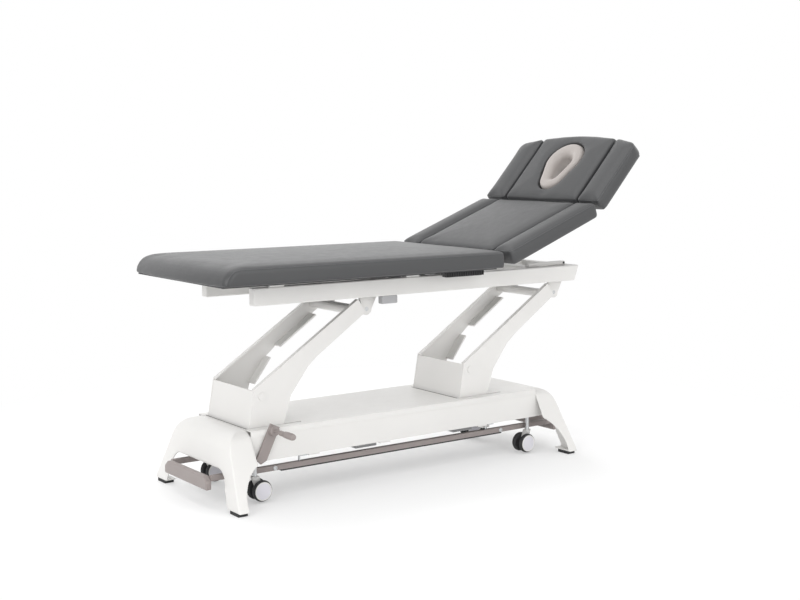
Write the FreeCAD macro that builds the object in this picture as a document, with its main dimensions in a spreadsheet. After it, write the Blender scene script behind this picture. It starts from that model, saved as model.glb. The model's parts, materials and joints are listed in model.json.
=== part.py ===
"""Therapy couch: three-section top on a parallelogram lift, base with retractable castors."""
import FreeCAD, Part
import math
import os
import re

import Sketcher

# Driving dimensions: millimetres, degrees where named angle, plain ratios where named share
SIZES = {
    # Upholstery
    "pad_width": 680.0, "pad_height": 64.0, "pad_edge_radius": 20.0, "pad_crown": 6.0,
    "pad_corner_radius": 42.0, "pad_crown_inset": 110.0, "section_corner_radius": 14.0,
    "leg_pad_length": 1200.0, "leg_roll_inset": 34.0, "leg_head_ahead": 904.0,
    "back_pad_length": 470.0, "back_center_width": 462.0, "back_groove": 3.0,
    "head_pad_length": 322.0, "head_center_width": 424.0, "head_gap": 8.0, "head_bulge": 18.0,
    "hinge_gap": 30.0, "head_hinge_gap": 24.0,
    "face_wide_radius": 74.0, "face_narrow_radius": 54.0, "face_centers": 130.0, "face_offset": 118.0,
    "face_gap": 3.0, "face_hole_wide_radius": 33.0, "face_hole_narrow_radius": 20.0,
    "face_hole_centers": 62.0, "face_hole_offset": 140.0, "face_proud": 8.0,
    "back_angle": 21.0, "head_angle": 47.5, "board_thickness": 5.0, "board_inset": 26.0,
    # Top frame
    "rail_width": 34.0, "rail_height": 62.0, "rail_length": 1511.0, "rail_half_gap": 153.0,
    "rail_beyond": 82.0, "rail_cut": 22.0, "cross_bar_width": 60.0, "cross_bar_height": 21.0,
    "cross_bar_inset": 60.0, "clevis_thickness": 12.0, "clevis_radius": 22.0, "clevis_half_top": 40.0,
    "clevis_tube_size": 30.0, "clevis_tube_ahead": 62.0, "hinge_plate_thickness": 8.0,
    "hinge_plate_half_width": 11.0, "hinge_plate_offset": 164.0, "head_plate_offset": 150.0,
    "hinge_pin_radius": 6.0, "hinge_side_gap": 0.3, "hinge_eye_radius": 9.0, "knuckle_foot": 90.0,
    "knuckle_drop": 12.0, "knuckle_neck_x": 16.0, "knuckle_heel_x": 14.0, "knuckle_back_z": 3.0,
    "pin_radius": 8.0, "pin_clearance": 0.05, "clevis_rise": 50.0,
    # Base
    "base_length": 1536.0, "base_width": 627.0, "foot_height": 12.0, "foot_length": 36.0, "foot_width": 60.0,
    "cover_half_width": 190.0, "cover_bottom": 145.0, "cover_height": 109.0, "sheet_wall": 3.0,
    "cover_length": 1300.0, "strap_width": 44.0, "strap_height": 6.0, "slot_clearance": 8.0,
    "beam_width": 26.0, "beam_height": 30.0, "shell_wall": 6.0, "shell_leg_depth": 44.0,
    "arch_half_width": 228.0, "arch_height": 132.0, "arch_radius": 60.0, "arch_lean": 30.0,
    "shell_crown_half_width": 145.0, "shell_shoulder": 60.0, "shell_lip": 25.0, "shell_round": 70.0,
    "shell_hip_bow": 24.0,
    # Lift arms
    "arm_spacing": 927.0, "pivot_x": -545.0, "pivot_z": 200.0, "arm_half_width": 148.0, "arm_plate": 6.0,
    "tower_front_low": -99.0, "tower_front_top": -66.0, "tower_top": 187.0, "arm_reach_x": 367.0,
    "arm_reach_z": 469.0, "arm_depth": 58.0, "gusset_x": 192.0, "gusset_z": 281.0, "gusset_step_x": 150.0,
    "gusset_step_z": 245.0, "knee_x": 81.0, "knee_z": 152.5, "heel_x": 52.0, "heel_z": 60.0,
    "hub_radius": 28.0, "flange_width": 18.0, "lip_width": 45.0, "lip_stop": 60.0,
    "upper_x": 417.0, "upper_z": 429.0, "shaft_radius": 14.0, "bearing_width": 40.0, "bearing_height": 44.0,
    "lug_plate": 12.0, "lug_gap": 1.0, "drive_pin_radius": 11.0, "drive_pin_x": -36.0, "drive_pin_z": 160.0,
    "arm_tube_radius": 16.0, "arm_tube_back": 30.0, "drop_angle": 34.0, "pin_head": 3.0,
    # Castors
    "castor_x": 626.0, "castor_y": 168.0, "wheel_radius": 37.5, "wheel_width": 20.0, "wheel_gap": 20.0,
    "wheel_lift": 4.0, "castor_trail": 18.0, "stem_radius": 8.0, "guide_size": 30.0, "guide_height": 55.0,
    "fork_top": 92.0, "fork_tip_radius": 10.0, "axle_radius": 5.0, "run_clearance": 1.0,
    "fork_crown_radius": 13.0, "tread_round": 5.0,
    # Foot bar and levers
    "bar_half_width": 150.0, "bar_thickness": 16.0, "bar_height": 20.0, "bar_bottom": 93.0,
    "strip_height": 5.0, "pedal_reach": 806.0, "pedal_half_width": 155.0, "pedal_height": 48.0,
    "pedal_thickness": 22.0,
    "pedal_corner": 19.0,
    "hanger_radius": 4.0, "hanger_x": 430.0, "hanger_clearance": 0.5,
    "lever_reach": 118.0, "lever_cap": 5.0, "lever_width": 38.0, "lever_tail": 23.0, "lever_tail_x": 4.0,
    "lever_tail_cut": 15.0,
    "lever_tail_rise": 4.0, "peg_inset": 19.0, "lever_plate": 8.0, "lever_pivot_x": -612.0,
    "lever_pivot_z": 160.0, "lever_angle": 26.0, "lever_gap": 3.0, "peg_length": 96.0, "peg_radius": 6.0,
    "peg_grip_radius": 9.0, "lever_shaft_radius": 9.0, "grip_length": 190.0, "grip_height": 22.0,
    "grip_depth": 26.0, "grip_setback": 40.0, "grip_chamfer": 11.0, "grip_end": 52.0,
    # Drives
    "spring_radius": 11.0, "spring_rod_radius": 5.0, "crank_drop": 84.0, "crank_thickness": 5.0,
    "crank_half_gap": 7.0, "spring_back": 334.0, "spring_body": 190.0, "spring_neck": 27.0,
    "spring_wall": 9.0,
    "eye_radius": 9.0, "spring_bracket": 26.0, "actuator_radius": 24.0, "actuator_length": 330.0,
    "actuator_ahead": 84.0, "motor_length": 110.0, "motor_half_width": 36.0,
    "box_length": 96.0, "box_width": 120.0, "box_height": 42.0, "overrun": 5.0, "soft_gap": 0.3,
}

doc = FreeCAD.newDocument("TherapyCouch")
sheet = doc.addObject("Spreadsheet::Sheet", "Sizes")
for row, (alias, number) in enumerate(SIZES.items(), start=1):
    sheet.set("A%d" % row, alias)
    sheet.set("B%d" % row, str(number))
    sheet.setAlias("B%d" % row, alias)
doc.recompute()


class SheetValues:
    """Reads a driving dimension from the sheet by its alias."""

    def __getattr__(self, alias):
        return float(sheet.get(alias))


s = SheetValues()
X_AXIS = FreeCAD.Vector(1, 0, 0)
Y_AXIS = FreeCAD.Vector(0, 1, 0)
Z_AXIS = FreeCAD.Vector(0, 0, 1)
finished = {}


def vector(x, y, z):
    return FreeCAD.Vector(x, y, z)


def formula(text):
    """Turns a sum of aliases into an expression on the sheet."""

    def on_sheet(word):
        alias = word.group(0)
        return "Sizes." + alias if alias in SIZES else alias

    return re.sub(r"[a-z_]+", on_sheet, text)


def bind(item, prop, text):
    item.setExpression(prop, formula(text))


def keep(label, item):
    """Names a finished sub-part."""
    item.Label = label
    finished[label] = item
    return item


def solid_box(name, sizes, corner):
    """A Part box whose three sides are bound to the sheet."""
    item = doc.addObject("Part::Box", name)
    for prop, text in zip(("Length", "Width", "Height"), sizes):
        bind(item, prop, text)
    item.Placement.Base = vector(*corner)
    return item


def solid_rod(name, radius, height, start, direction):
    """A Part cylinder along a direction from its start point."""
    item = doc.addObject("Part::Cylinder", name)
    bind(item, "Radius", radius)
    bind(item, "Height", height)
    item.Placement = FreeCAD.Placement(vector(*start), FreeCAD.Rotation(Z_AXIS, direction))
    return item


def fused(name, items):
    item = doc.addObject("Part::MultiFuse", name)
    item.Shapes = items
    return item


def cut(name, base, tool):
    item = doc.addObject("Part::Cut", name)
    item.Base = base
    item.Tool = tool
    return item


def grouped(name, items):
    """Separate like solids kept as one sub-part."""
    item = doc.addObject("Part::Compound", name)
    item.Links = items
    return item


def origin_plane(body, role):
    return [plane for plane in body.Origin.OriginFeatures if plane.Role == role][0]


def bound_sketch(body, name, role, points):
    """A closed outline whose every corner is tied to the sheet."""
    sketch = body.newObject("Sketcher::SketchObject", name)
    sketch.AttachmentSupport = (origin_plane(body, role), "")
    sketch.MapMode = "FlatFace"
    count = len(points)
    turn = 2 * math.pi / count
    ring = [vector(math.cos(turn * i), -math.sin(turn * i), 0) for i in range(count)]
    for i in range(count):
        sketch.addGeometry(Part.LineSegment(ring[i], ring[(i + 1) % count]), False)
    for i in range(count):
        sketch.addConstraint(Sketcher.Constraint("Coincident", i, 2, (i + 1) % count, 1))
    for i, (across, up) in enumerate(points):
        for kind, start, text in (("DistanceX", ring[i].x, across), ("DistanceY", ring[i].y, up)):
            number = sketch.addConstraint(Sketcher.Constraint(kind, -1, 1, i, 1, start))
            bind(sketch, "Constraints[%d]" % number, text)
    return sketch


def padded_outline(name, points, thickness, role="XZ_Plane"):
    """A PartDesign body: one bound outline, padded."""
    body = doc.addObject("PartDesign::Body", name)
    sketch = bound_sketch(body, name + "Outline", role, points)
    pad = body.newObject("PartDesign::Pad", name + "Pad")
    pad.Profile = sketch
    bind(pad, "Length", thickness)
    doc.recompute()
    return body


def feature(name, shape):
    item = doc.addObject("Part::Feature", name)
    item.Shape = shape
    return item


def line(a, b):
    return Part.LineSegment(a, b).toShape()


def arc(a, b, c):
    return Part.Arc(a, b, c).toShape()


# Stations worked out from the driving dimensions
cover_top = s.cover_bottom + s.cover_height
rail_bottom = s.pivot_z + s.upper_z + s.clevis_rise
rail_top = rail_bottom + s.rail_height
board_bottom = rail_top + s.cross_bar_height
pad_bottom = board_bottom + s.board_thickness
hinge_z = pad_bottom + s.pad_height / 2
leg_head_x = s.pivot_x + s.leg_head_ahead
leg_foot_x = leg_head_x - s.leg_pad_length
back_hinge = vector(leg_head_x + s.hinge_gap / 2, 0, hinge_z)
back_reach = s.hinge_gap / 2 + s.back_pad_length + s.head_hinge_gap / 2
back_turn = FreeCAD.Placement(back_hinge, FreeCAD.Rotation(Y_AXIS, -s.back_angle))
head_hinge = back_turn.multVec(vector(back_reach, 0, 0))
head_turn = FreeCAD.Placement(head_hinge, FreeCAD.Rotation(Y_AXIS, -s.head_angle))
pivots = {"foot": s.pivot_x, "head": s.pivot_x + s.arm_spacing}
rail_foot_x = pivots["head"] + s.upper_x + s.rail_beyond - s.rail_length
sides = {"near": -1, "far": 1}
ends = {"foot": -1, "head": 1}


def rounded_rectangle(x0, x1, half, z, radius, bulge):
    """Wire of four lines and four corner arcs at one height; the far end may bow out."""
    k = radius * (1 - math.sqrt(0.5))
    low, high = -half, half
    if bulge:
        end = arc(vector(x1, low + radius, z), vector(x1 + bulge, 0, z), vector(x1, high - radius, z))
    else:
        end = line(vector(x1, low + radius, z), vector(x1, high - radius, z))
    edges = [
        line(vector(x0 + radius, low, z), vector(x1 - radius, low, z)),
        arc(vector(x1 - radius, low, z), vector(x1 - k, low + k, z), vector(x1, low + radius, z)),
        end,
        arc(vector(x1, high - radius, z), vector(x1 - k, high - k, z), vector(x1 - radius, high, z)),
        line(vector(x1 - radius, high, z), vector(x0 + radius, high, z)),
        arc(vector(x0 + radius, high, z), vector(x0 + k, high - k, z), vector(x0, high - radius, z)),
        line(vector(x0, high - radius, z), vector(x0, low + radius, z)),
        arc(vector(x0, low + radius, z), vector(x0 + k, low + k, z), vector(x0 + radius, low, z)),
    ]
    return Part.Wire(edges)


# Height shares and edge inset shares of a cushion, from its underside to its crown
CUSHION_HEIGHT_SHARES = (0.0, 0.16, 0.45, 0.66, 0.80, 0.90)
CUSHION_INSET_SHARES = (0.30, 0.04, 0.0, 0.07, 0.30, 0.62)
# Largest edge, crown inset and corner as shares of a narrow cushion's width
CUSHION_EDGE_SHARE = 0.25
CUSHION_CORNER_SHARE = 0.2


def cushion(length, width, corner, roll=0.0, bulge=0.0):
    """A crowned cushion with drawn-in sides, lofted upwards from its underside."""
    wires = []
    height = s.pad_height - s.pad_crown
    edge = min(s.pad_edge_radius, width * CUSHION_EDGE_SHARE)
    crown = min(s.pad_crown_inset, width * CUSHION_EDGE_SHARE)
    corner = min(corner, width * CUSHION_CORNER_SHARE)
    for share, inset in zip(CUSHION_HEIGHT_SHARES, CUSHION_INSET_SHARES):
        gap = inset * edge
        foot_gap = inset * (edge + roll)
        z = share * height
        wires.append(rounded_rectangle(foot_gap, length - gap, width / 2 - gap, z, corner, bulge))
    for inset, z in ((edge, height), (crown, s.pad_height)):
        wires.append(rounded_rectangle(inset + roll, length - inset, width / 2 - inset, z, corner, bulge))
    return Part.makeLoft(wires, True, True)


def egg_wire(wide, narrow, centers, x, z):
    """Outline of two arcs about x and x + centers, wide at the far end, joined by straight tangents."""
    lean = math.asin((wide - narrow) / centers)
    c, d = math.cos(lean), math.sin(lean)
    k = math.sqrt(0.5)
    far = x + centers
    w1 = vector(far - wide * d, wide * c, z)
    w2 = vector(far - wide * d, -wide * c, z)
    n1 = vector(x - narrow * d, narrow * c, z)
    n2 = vector(x - narrow * d, -narrow * c, z)
    return Part.Wire([
        arc(w2, vector(far + wide * k, -wide * k, z), vector(far + wide, 0, z)),
        arc(vector(far + wide, 0, z), vector(far + wide * k, wide * k, z), w1),
        line(w1, n1),
        arc(n1, vector(x - narrow * k, narrow * k, z), vector(x - narrow, 0, z)),
        arc(vector(x - narrow, 0, z), vector(x - narrow * k, -narrow * k, z), n2),
        line(n2, w2),
    ])


def egg_solid(wide, narrow, centers, offset, z0, z1):
    return Part.Face(egg_wire(wide, narrow, centers, offset, z0)).extrude(vector(0, 0, z1 - z0))


def place_pad(label, shape, frame, x, y):
    """Sets a cushion on its board in a section's own frame."""
    item = keep(label, feature(label, shape))
    offset = FreeCAD.Placement(vector(x, y, -s.pad_height / 2), FreeCAD.Rotation())
    item.Placement = frame.multiply(offset)


def upholstery():
    """The seven cushions and the face cushion."""
    level = FreeCAD.Placement(vector(leg_foot_x, 0, hinge_z), FreeCAD.Rotation())
    leg = cushion(s.leg_pad_length, s.pad_width, s.pad_corner_radius, s.leg_roll_inset)
    place_pad("leg_pad", leg, level, 0, 0)
    wing = (s.pad_width - s.back_center_width) / 2 - s.back_groove
    wing_y = s.back_center_width / 2 + s.back_groove + wing / 2
    x = s.hinge_gap / 2
    corner = s.section_corner_radius
    place_pad("back_pad_center", cushion(s.back_pad_length, s.back_center_width, corner), back_turn, x, 0)
    for side, sign in sides.items():
        place_pad("back_pad_" + side, cushion(s.back_pad_length, wing, corner), back_turn, x, sign * wing_y)
    rest = (s.pad_width - s.head_center_width) / 2 - s.head_gap
    rest_y = s.head_center_width / 2 + s.head_gap + rest / 2
    x = s.head_hinge_gap / 2
    for side, sign in sides.items():
        pad = cushion(s.head_pad_length, rest, corner)
        place_pad("armrest_pad_" + side, pad, head_turn, x, sign * rest_y)
    pad = cushion(s.head_pad_length, s.head_center_width, corner, 0.0, s.head_bulge)
    hole = egg_solid(s.face_wide_radius + s.face_gap, s.face_narrow_radius + s.face_gap, s.face_centers,
                     s.face_offset, -s.overrun, s.pad_height + s.overrun)
    place_pad("head_pad", pad.cut(hole), head_turn, x, 0)
    face_cushion(x)


# Height shares and inset shares of the face cushion's round section
FACE_HEIGHT_SHARES = (0.0, 0.55, 0.80, 0.95, 1.0)
FACE_INSET_SHARES = (0.0, 0.0, 0.14, 0.42, 0.72)


def face_cushion(x):
    """A padded egg-shaped ring that lifts out of the head cushion."""
    height = s.pad_height + s.face_proud - s.soft_gap
    rim = s.face_narrow_radius - s.face_hole_narrow_radius
    outer, inner = [], []
    for share, inset in zip(FACE_HEIGHT_SHARES, FACE_INSET_SHARES):
        gap = inset * rim / 2
        z = s.soft_gap + share * height
        outer.append(egg_wire(s.face_wide_radius - gap, s.face_narrow_radius - gap,
                              s.face_centers, s.face_offset, z))
        inner.append(egg_wire(s.face_hole_wide_radius + gap, s.face_hole_narrow_radius + gap,
                              s.face_hole_centers, s.face_hole_offset, z))
    ring = Part.makeLoft(outer, True, True).cut(Part.makeLoft(inner, True, True))
    place_pad("face_cushion", ring, head_turn, x, 0)


def section_sheet(name, length, width, x, y):
    """The pressed sheet under a section's cushion, in the section's own frame."""
    return solid_box(name, (length + " - board_inset * 2", width, "board_thickness"),
                     (x + s.board_inset, y, -s.pad_height / 2 - s.board_thickness))


def knuckle(name, y, ahead):
    """A hinge arm: an eye on the pin, a neck past the cushion's end and a foot under the sheet."""
    way = "" if ahead > 0 else "-"
    eye = "hinge_eye_radius"
    low = "-pad_height / 2 - board_thickness"
    points = [("-" + eye, eye), (eye, eye), (eye, low + " + knuckle_drop"), ("knuckle_neck_x", low),
              ("knuckle_foot", low), ("knuckle_foot", low + " - knuckle_drop"),
              ("knuckle_heel_x", low + " - knuckle_drop"), ("-" + eye, "-knuckle_back_z")]
    points = [("%s(%s)" % (way, across), up) for across, up in points]
    arm = padded_outline(name + "Arm", points, "hinge_plate_thickness")
    arm.Placement.Base = vector(0, y + s.hinge_plate_thickness, 0)
    return arm


def bored_knuckle(name, y, ahead):
    bore = solid_rod(name + "Bore", "hinge_pin_radius + pin_clearance", "hinge_plate_thickness",
                     (0, y, 0), Y_AXIS)
    return cut(name, knuckle(name, y, ahead), bore)


def beside(sign, offset):
    """Near corner of a hinge plate that lies outside the given offset, on either side."""
    return offset if sign > 0 else -offset - s.hinge_plate_thickness


def section_frames():
    """Sheets with hinge arms under the leg, back, head and armrest cushions."""
    keep("leg_board", solid_box("leg_board", (
        "leg_pad_length - board_inset * 2", "pad_width - board_inset * 2", "board_thickness"),
        (leg_foot_x + s.board_inset, s.board_inset - s.pad_width / 2, board_bottom)))
    outside = s.hinge_plate_offset + s.hinge_plate_thickness + s.hinge_side_gap
    items = [section_sheet("BackSheet", "back_pad_length", "pad_width - board_inset * 2", s.hinge_gap / 2,
                           s.board_inset - s.pad_width / 2)]
    items += [bored_knuckle("BackKnuckle" + side, beside(sign, outside), 1) for side, sign in sides.items()]
    items += [spring_crank("SpringCrank" + side, sign) for side, sign in sides.items()]
    back = keep("back_frame", fused("back_frame", items))
    back.Placement = back_turn
    sheet_hole = feature("HeadSheetHole", egg_solid(
        s.face_hole_wide_radius, s.face_hole_narrow_radius, s.face_hole_centers,
        s.head_hinge_gap / 2 + s.face_hole_offset, -s.pad_height, 0))
    head_sheet = cut("HeadSheetOpen", section_sheet(
        "HeadSheet", "head_pad_length", "head_center_width - board_inset", s.head_hinge_gap / 2,
        (s.board_inset - s.head_center_width) / 2), sheet_hole)
    outside = s.head_plate_offset + s.hinge_plate_thickness + s.hinge_side_gap
    items = [bored_knuckle("HeadKnuckle" + side, beside(sign, outside), 1) for side, sign in sides.items()]
    head = keep("head_frame", fused("head_frame", [head_sheet] + items))
    head.Placement = head_turn
    armrest_frames()


def armrest_frames():
    """A sheet and one hinge arm for each armrest."""
    rest = (s.pad_width - s.head_center_width) / 2 - s.head_gap
    for side, sign in sides.items():
        y = sign * (s.head_center_width / 2 + s.head_gap + rest / 2) - rest / 2 + s.board_inset / 2
        width = "(pad_width - head_center_width) / 2 - head_gap - board_inset"
        plate = section_sheet("RestSheet" + side, "head_pad_length", width, s.head_hinge_gap / 2, y)
        offset = s.head_center_width / 2 + s.head_gap + s.board_inset
        arm = bored_knuckle("RestKnuckle" + side, beside(sign, offset), 1)
        item = keep("armrest_frame_" + side, fused("armrest_frame_" + side, [plate, arm]))
        item.Placement = head_turn


def spring_crank(name, sign):
    """A lever under the back sheet that takes the gas spring's push."""
    low = "-pad_height / 2 - board_thickness"
    eye = "hinge_eye_radius"
    points = [("hinge_gap / 2 + board_inset", low), ("knuckle_foot + board_inset", low),
              ("knuckle_foot + board_inset", low + " - knuckle_drop"), (eye, "-crank_drop - " + eye),
              ("-" + eye, "-crank_drop - " + eye), ("-" + eye, "-crank_drop + " + eye)]
    item = padded_outline(name, points, "crank_thickness")
    y = -s.crank_half_gap if sign < 0 else s.crank_half_gap + s.crank_thickness
    item.Placement.Base = vector(0, y, 0)
    return item


def rails():
    """Two box rails with slanted head ends, joined by flat bars across their tops."""
    length = "rail_length"
    outline = [("0", "0"), ("0", "rail_height"), (length, "rail_height"), (length + " - rail_cut", "0")]
    for side, sign in sides.items():
        item = padded_outline(side + "_rail", outline, "rail_width")
        y = -s.rail_half_gap if sign < 0 else s.rail_half_gap + s.rail_width
        item.Placement.Base = vector(rail_foot_x, y, rail_bottom)
        keep(side + "_rail", item)
    bars = []
    full = "cross_bar_height"
    over_rails = ("cross_bar_width", "(rail_half_gap + rail_width) * 2", full)
    near_y = -s.rail_half_gap - s.rail_width
    for index, x in enumerate((rail_foot_x + s.cross_bar_inset, leg_head_x - s.cross_bar_width * 2)):
        bars.append(solid_box("CrossBar%d" % index, over_rails, (x, near_y, rail_top)))
    clevis_back = pivots["head"] + s.upper_x - s.clevis_half_top
    bars.append(solid_box("HeadCrossBar", ("cross_bar_width", "rail_half_gap * 2", full),
                          (clevis_back - s.cross_bar_inset - s.cross_bar_width,
                           -s.rail_half_gap, rail_top - s.cross_bar_height)))
    bars.append(spring_bar(full))
    keep("cross_bars", grouped("cross_bars", bars))


def spring_bar(height):
    """The cross bar that carries the gas spring's fixed end between two lugs."""
    anchor = spring_ends()[0]
    items = [solid_box("SpringBar", ("cross_bar_width", "(rail_half_gap + rail_width) * 2", height),
                       (anchor.x - s.cross_bar_width / 2, -s.rail_half_gap - s.rail_width, rail_top))]
    for side, sign in sides.items():
        y = -s.crank_half_gap - s.crank_thickness if sign < 0 else s.crank_half_gap
        lug = doc.addObject("Part::Box", "SpringLug" + side)
        bind(lug, "Length", "spring_bracket")
        bind(lug, "Width", "crank_thickness")
        lug.Height = rail_top - anchor.z + s.eye_radius
        lug.Placement.Base = vector(anchor.x - s.spring_bracket / 2, y, anchor.z - s.eye_radius)
        items.append(lug)
    items.append(solid_rod("SpringPin", "spring_rod_radius", "(crank_half_gap + crank_thickness) * 2",
                           (anchor.x, -s.crank_half_gap - s.crank_thickness, anchor.z), Y_AXIS))
    return fused("SpringBarWithLugs", items)


def spring_ends():
    """The gas spring's fixed end under the leg section and its moving end on the back's crank."""
    moving = back_turn.multVec(vector(0, 0, -s.crank_drop))
    fixed = vector(back_hinge.x - s.spring_back, 0, hinge_z - s.crank_drop)
    return fixed, moving


def gas_spring():
    """Cylinder with an eye on the fixed pin, and a rod with an eye in the crank."""
    fixed, moving = spring_ends()
    run = moving - fixed
    turn = FreeCAD.Rotation(Y_AXIS, -math.degrees(math.atan2(run.z, run.x)))
    width = "(crank_half_gap - run_clearance) * 2"
    half = s.crank_half_gap - s.run_clearance
    eye = cut("CylinderEye", fused("CylinderBlank", [
        solid_rod("CylinderEyeRound", "eye_radius", width, (0, -half, 0), Y_AXIS),
        solid_rod("CylinderNeck", "spring_rod_radius", "spring_neck", (0, 0, 0), X_AXIS)]),
        solid_rod("CylinderEyeBore", "spring_rod_radius + pin_clearance", width, (0, -half, 0), Y_AXIS))
    body = solid_rod("CylinderOuter", "spring_radius", "spring_body - spring_neck",
                     (s.spring_neck, 0, 0), X_AXIS)
    bore = solid_rod("CylinderBore", "spring_rod_radius + pin_clearance",
                     "spring_body - spring_neck - spring_wall", (s.spring_neck + s.spring_wall, 0, 0), X_AXIS)
    tube = cut("CylinderTube", body, bore)
    cylinder = keep("back_spring_cylinder", fused("back_spring_cylinder", [eye, tube]))
    cylinder.Placement = FreeCAD.Placement(fixed, turn)
    rod = doc.addObject("Part::Cylinder", "SpringRodRound")
    bind(rod, "Radius", "spring_rod_radius")
    rod.Height = run.Length - s.spring_body / 2
    rod.Placement = FreeCAD.Placement(vector(s.spring_body / 2, 0, 0), FreeCAD.Rotation(Z_AXIS, X_AXIS))
    tip = solid_rod("SpringRodEye", "eye_radius", width, (run.Length, -half, 0), Y_AXIS)
    item = keep("back_spring_rod", fused("back_spring_rod", [rod, tip]))
    item.Placement = FreeCAD.Placement(fixed, turn)


def clevises():
    """For each arm: two hanging plates with round ends, a tube between the rails and a pivot pin."""
    brackets = []
    pins = []
    half = s.arm_half_width - s.flange_width - s.lug_gap
    for end, x in pivots.items():
        center = vector(x + s.upper_x, 0, s.pivot_z + s.upper_z)
        tube = solid_box("ClevisTube" + end, ("clevis_tube_size", "rail_half_gap * 2", "clevis_tube_size"),
                         (center.x + s.clevis_tube_ahead - s.clevis_tube_size / 2, -s.rail_half_gap,
                          rail_top - s.clevis_tube_size))
        plates = [clevis_plate(end + side, center, sign * half, sign) for side, sign in sides.items()]
        bore = solid_rod("ClevisBore" + end, "pin_radius", "rail_half_gap * 2",
                         (center.x, -s.rail_half_gap, center.z), Y_AXIS)
        brackets.append(cut("Clevis" + end, fused("ClevisPair" + end, plates + [tube]), bore))
        width = "(arm_half_width - flange_width - lug_gap) * 2"
        pins.append(solid_rod("ClevisPin" + end, "pin_radius", width, (center.x, -half, center.z), Y_AXIS))
    keep("clevises", grouped("clevises", brackets))
    keep("clevis_pins", grouped("clevis_pins", pins))


def clevis_plate(name, center, y, sign):
    """A plate that narrows from the rail to a round end about the pin."""
    top = rail_top - center.z
    r = s.clevis_radius
    back = s.clevis_half_top
    ahead = s.clevis_tube_ahead + s.clevis_tube_size / 2
    edges = [
        line(vector(-back, 0, top), vector(ahead, 0, top)),
        line(vector(ahead, 0, top), vector(r, 0, 0)),
        arc(vector(r, 0, 0), vector(r * math.sqrt(0.5), 0, -r * math.sqrt(0.5)), vector(0, 0, -r)),
        arc(vector(0, 0, -r), vector(-r * math.sqrt(0.5), 0, -r * math.sqrt(0.5)), vector(-r, 0, 0)),
        line(vector(-r, 0, 0), vector(-back, 0, top)),
    ]
    shape = Part.Face(Part.Wire(edges)).extrude(vector(0, -sign * s.clevis_thickness, 0))
    item = feature("ClevisPlate" + name, shape)
    item.Placement.Base = vector(center.x, y, center.z)
    return item


def arm_outline():
    """Corners of an arm side, from the tower foot over the arm and down the gusset."""
    run = "(arm_reach_x - tower_front_top)"
    rise = "(arm_reach_z - tower_top)"
    long = "sqrt(%s * %s + %s * %s)" % (run, run, rise, rise)
    low_x = "arm_reach_x + arm_depth * %s / %s" % (rise, long)
    low_z = "arm_reach_z - arm_depth * %s / %s" % (run, long)
    return [("tower_front_low", "0"), ("tower_front_top", "tower_top"),
            ("arm_reach_x", "arm_reach_z"), (low_x, low_z), ("gusset_x", "gusset_z"),
            ("gusset_step_x", "gusset_step_z"), ("knee_x", "knee_z"), ("heel_x", "heel_z"),
            ("hub_radius", "0")]


def lift_arms():
    """Each arm: two shaped side plates, a tower front, tubes between them and the drive pin."""
    for end, x in pivots.items():
        plates = [arm_side(end + side, x, sign) for side, sign in sides.items()]
        keep(end + "_arm_plates", grouped(end + "_arm_plates", plates))
        arm_front(end, x)
        arm_tubes(end, x)
        keep(end + "_arm_drive_pin", fused(end + "_arm_drive_pin", drive_pin(end, x)))


def arm_side(name, x, sign):
    """A side plate with its edges turned in, bored for the hub and the drive pin."""
    body = padded_outline("Plate" + name, arm_outline(), "arm_plate")
    y = -s.arm_half_width + s.arm_plate if sign < 0 else s.arm_half_width
    body.Placement.Base = vector(x, y, s.pivot_z)
    bores = fused("PlateBores" + name, [
        solid_rod("HubBore" + name, "hub_radius - arm_plate", "arm_half_width * 2",
                  (x, -s.arm_half_width, s.pivot_z), Y_AXIS),
        solid_rod("DriveBore" + name, "drive_pin_radius", "arm_half_width * 2",
                  (x + s.drive_pin_x, -s.arm_half_width, s.pivot_z + s.drive_pin_z), Y_AXIS)])
    flanged = fused("PlateFlanged" + name, [body] + turned_edges(name, x, sign))
    return cut("PlateBored" + name, flanged, bores)


def arm_axis():
    """Direction of the straight arm and its length along the top edge."""
    run = vector(s.arm_reach_x - s.tower_front_top, 0, s.arm_reach_z - s.tower_top)
    return run, run.Length


def turned_edges(name, x, sign):
    """The top edge turned in along the straight arm, and wider lips along the lower edges."""
    run, length = arm_axis()
    front = vector(s.tower_front_top, 0, s.tower_top)
    low_end = front + run + vector(run.z, 0, -run.x) * (s.arm_depth / length)
    gusset = vector(s.gusset_x, 0, s.gusset_z)
    lip = low_end - gusset
    stop = low_end - lip * (s.lip_stop / lip.Length)
    knee = vector(s.knee_x, 0, s.knee_z)
    step = vector(s.gusset_step_x, 0, s.gusset_step_z)
    return [
        turned_edge("Flange" + name, x, sign, front, front + run, "flange_width", s.arm_plate),
        turned_edge("ArmLip" + name, x, sign, gusset, stop, "lip_width", 0),
        turned_edge("GussetLip" + name, x, sign, knee, step, "lip_width", 0),
    ]


def turned_edge(name, x, sign, start, finish, width, drop):
    """A strip turned inward along an edge; drop sets it below the edge."""
    run = finish - start
    item = doc.addObject("Part::Box", name)
    bind(item, "Width", width)
    bind(item, "Height", "arm_plate")
    item.Length = run.Length
    turn = FreeCAD.Rotation(Y_AXIS, -math.degrees(math.atan2(run.z, run.x)))
    y = -s.arm_half_width if sign < 0 else s.arm_half_width - getattr(s, width)
    corner = vector(x, y, s.pivot_z) + start + turn.multVec(vector(0, 0, -drop))
    item.Placement = FreeCAD.Placement(corner, turn)
    return item


def arm_front(end, x):
    """The leaning front wall of the tower, between the side plates."""
    top = "tower_top - arm_plate"
    outline = [("tower_front_low", "0"), ("tower_front_top", top), ("tower_front_top + arm_plate", top),
               ("tower_front_low + arm_plate", "0")]
    item = padded_outline("%s_arm_front" % end, outline, "(arm_half_width - arm_plate) * 2")
    item.Placement.Base = vector(x, s.arm_half_width - s.arm_plate, s.pivot_z)
    keep(end + "_arm_front", item)


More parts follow.
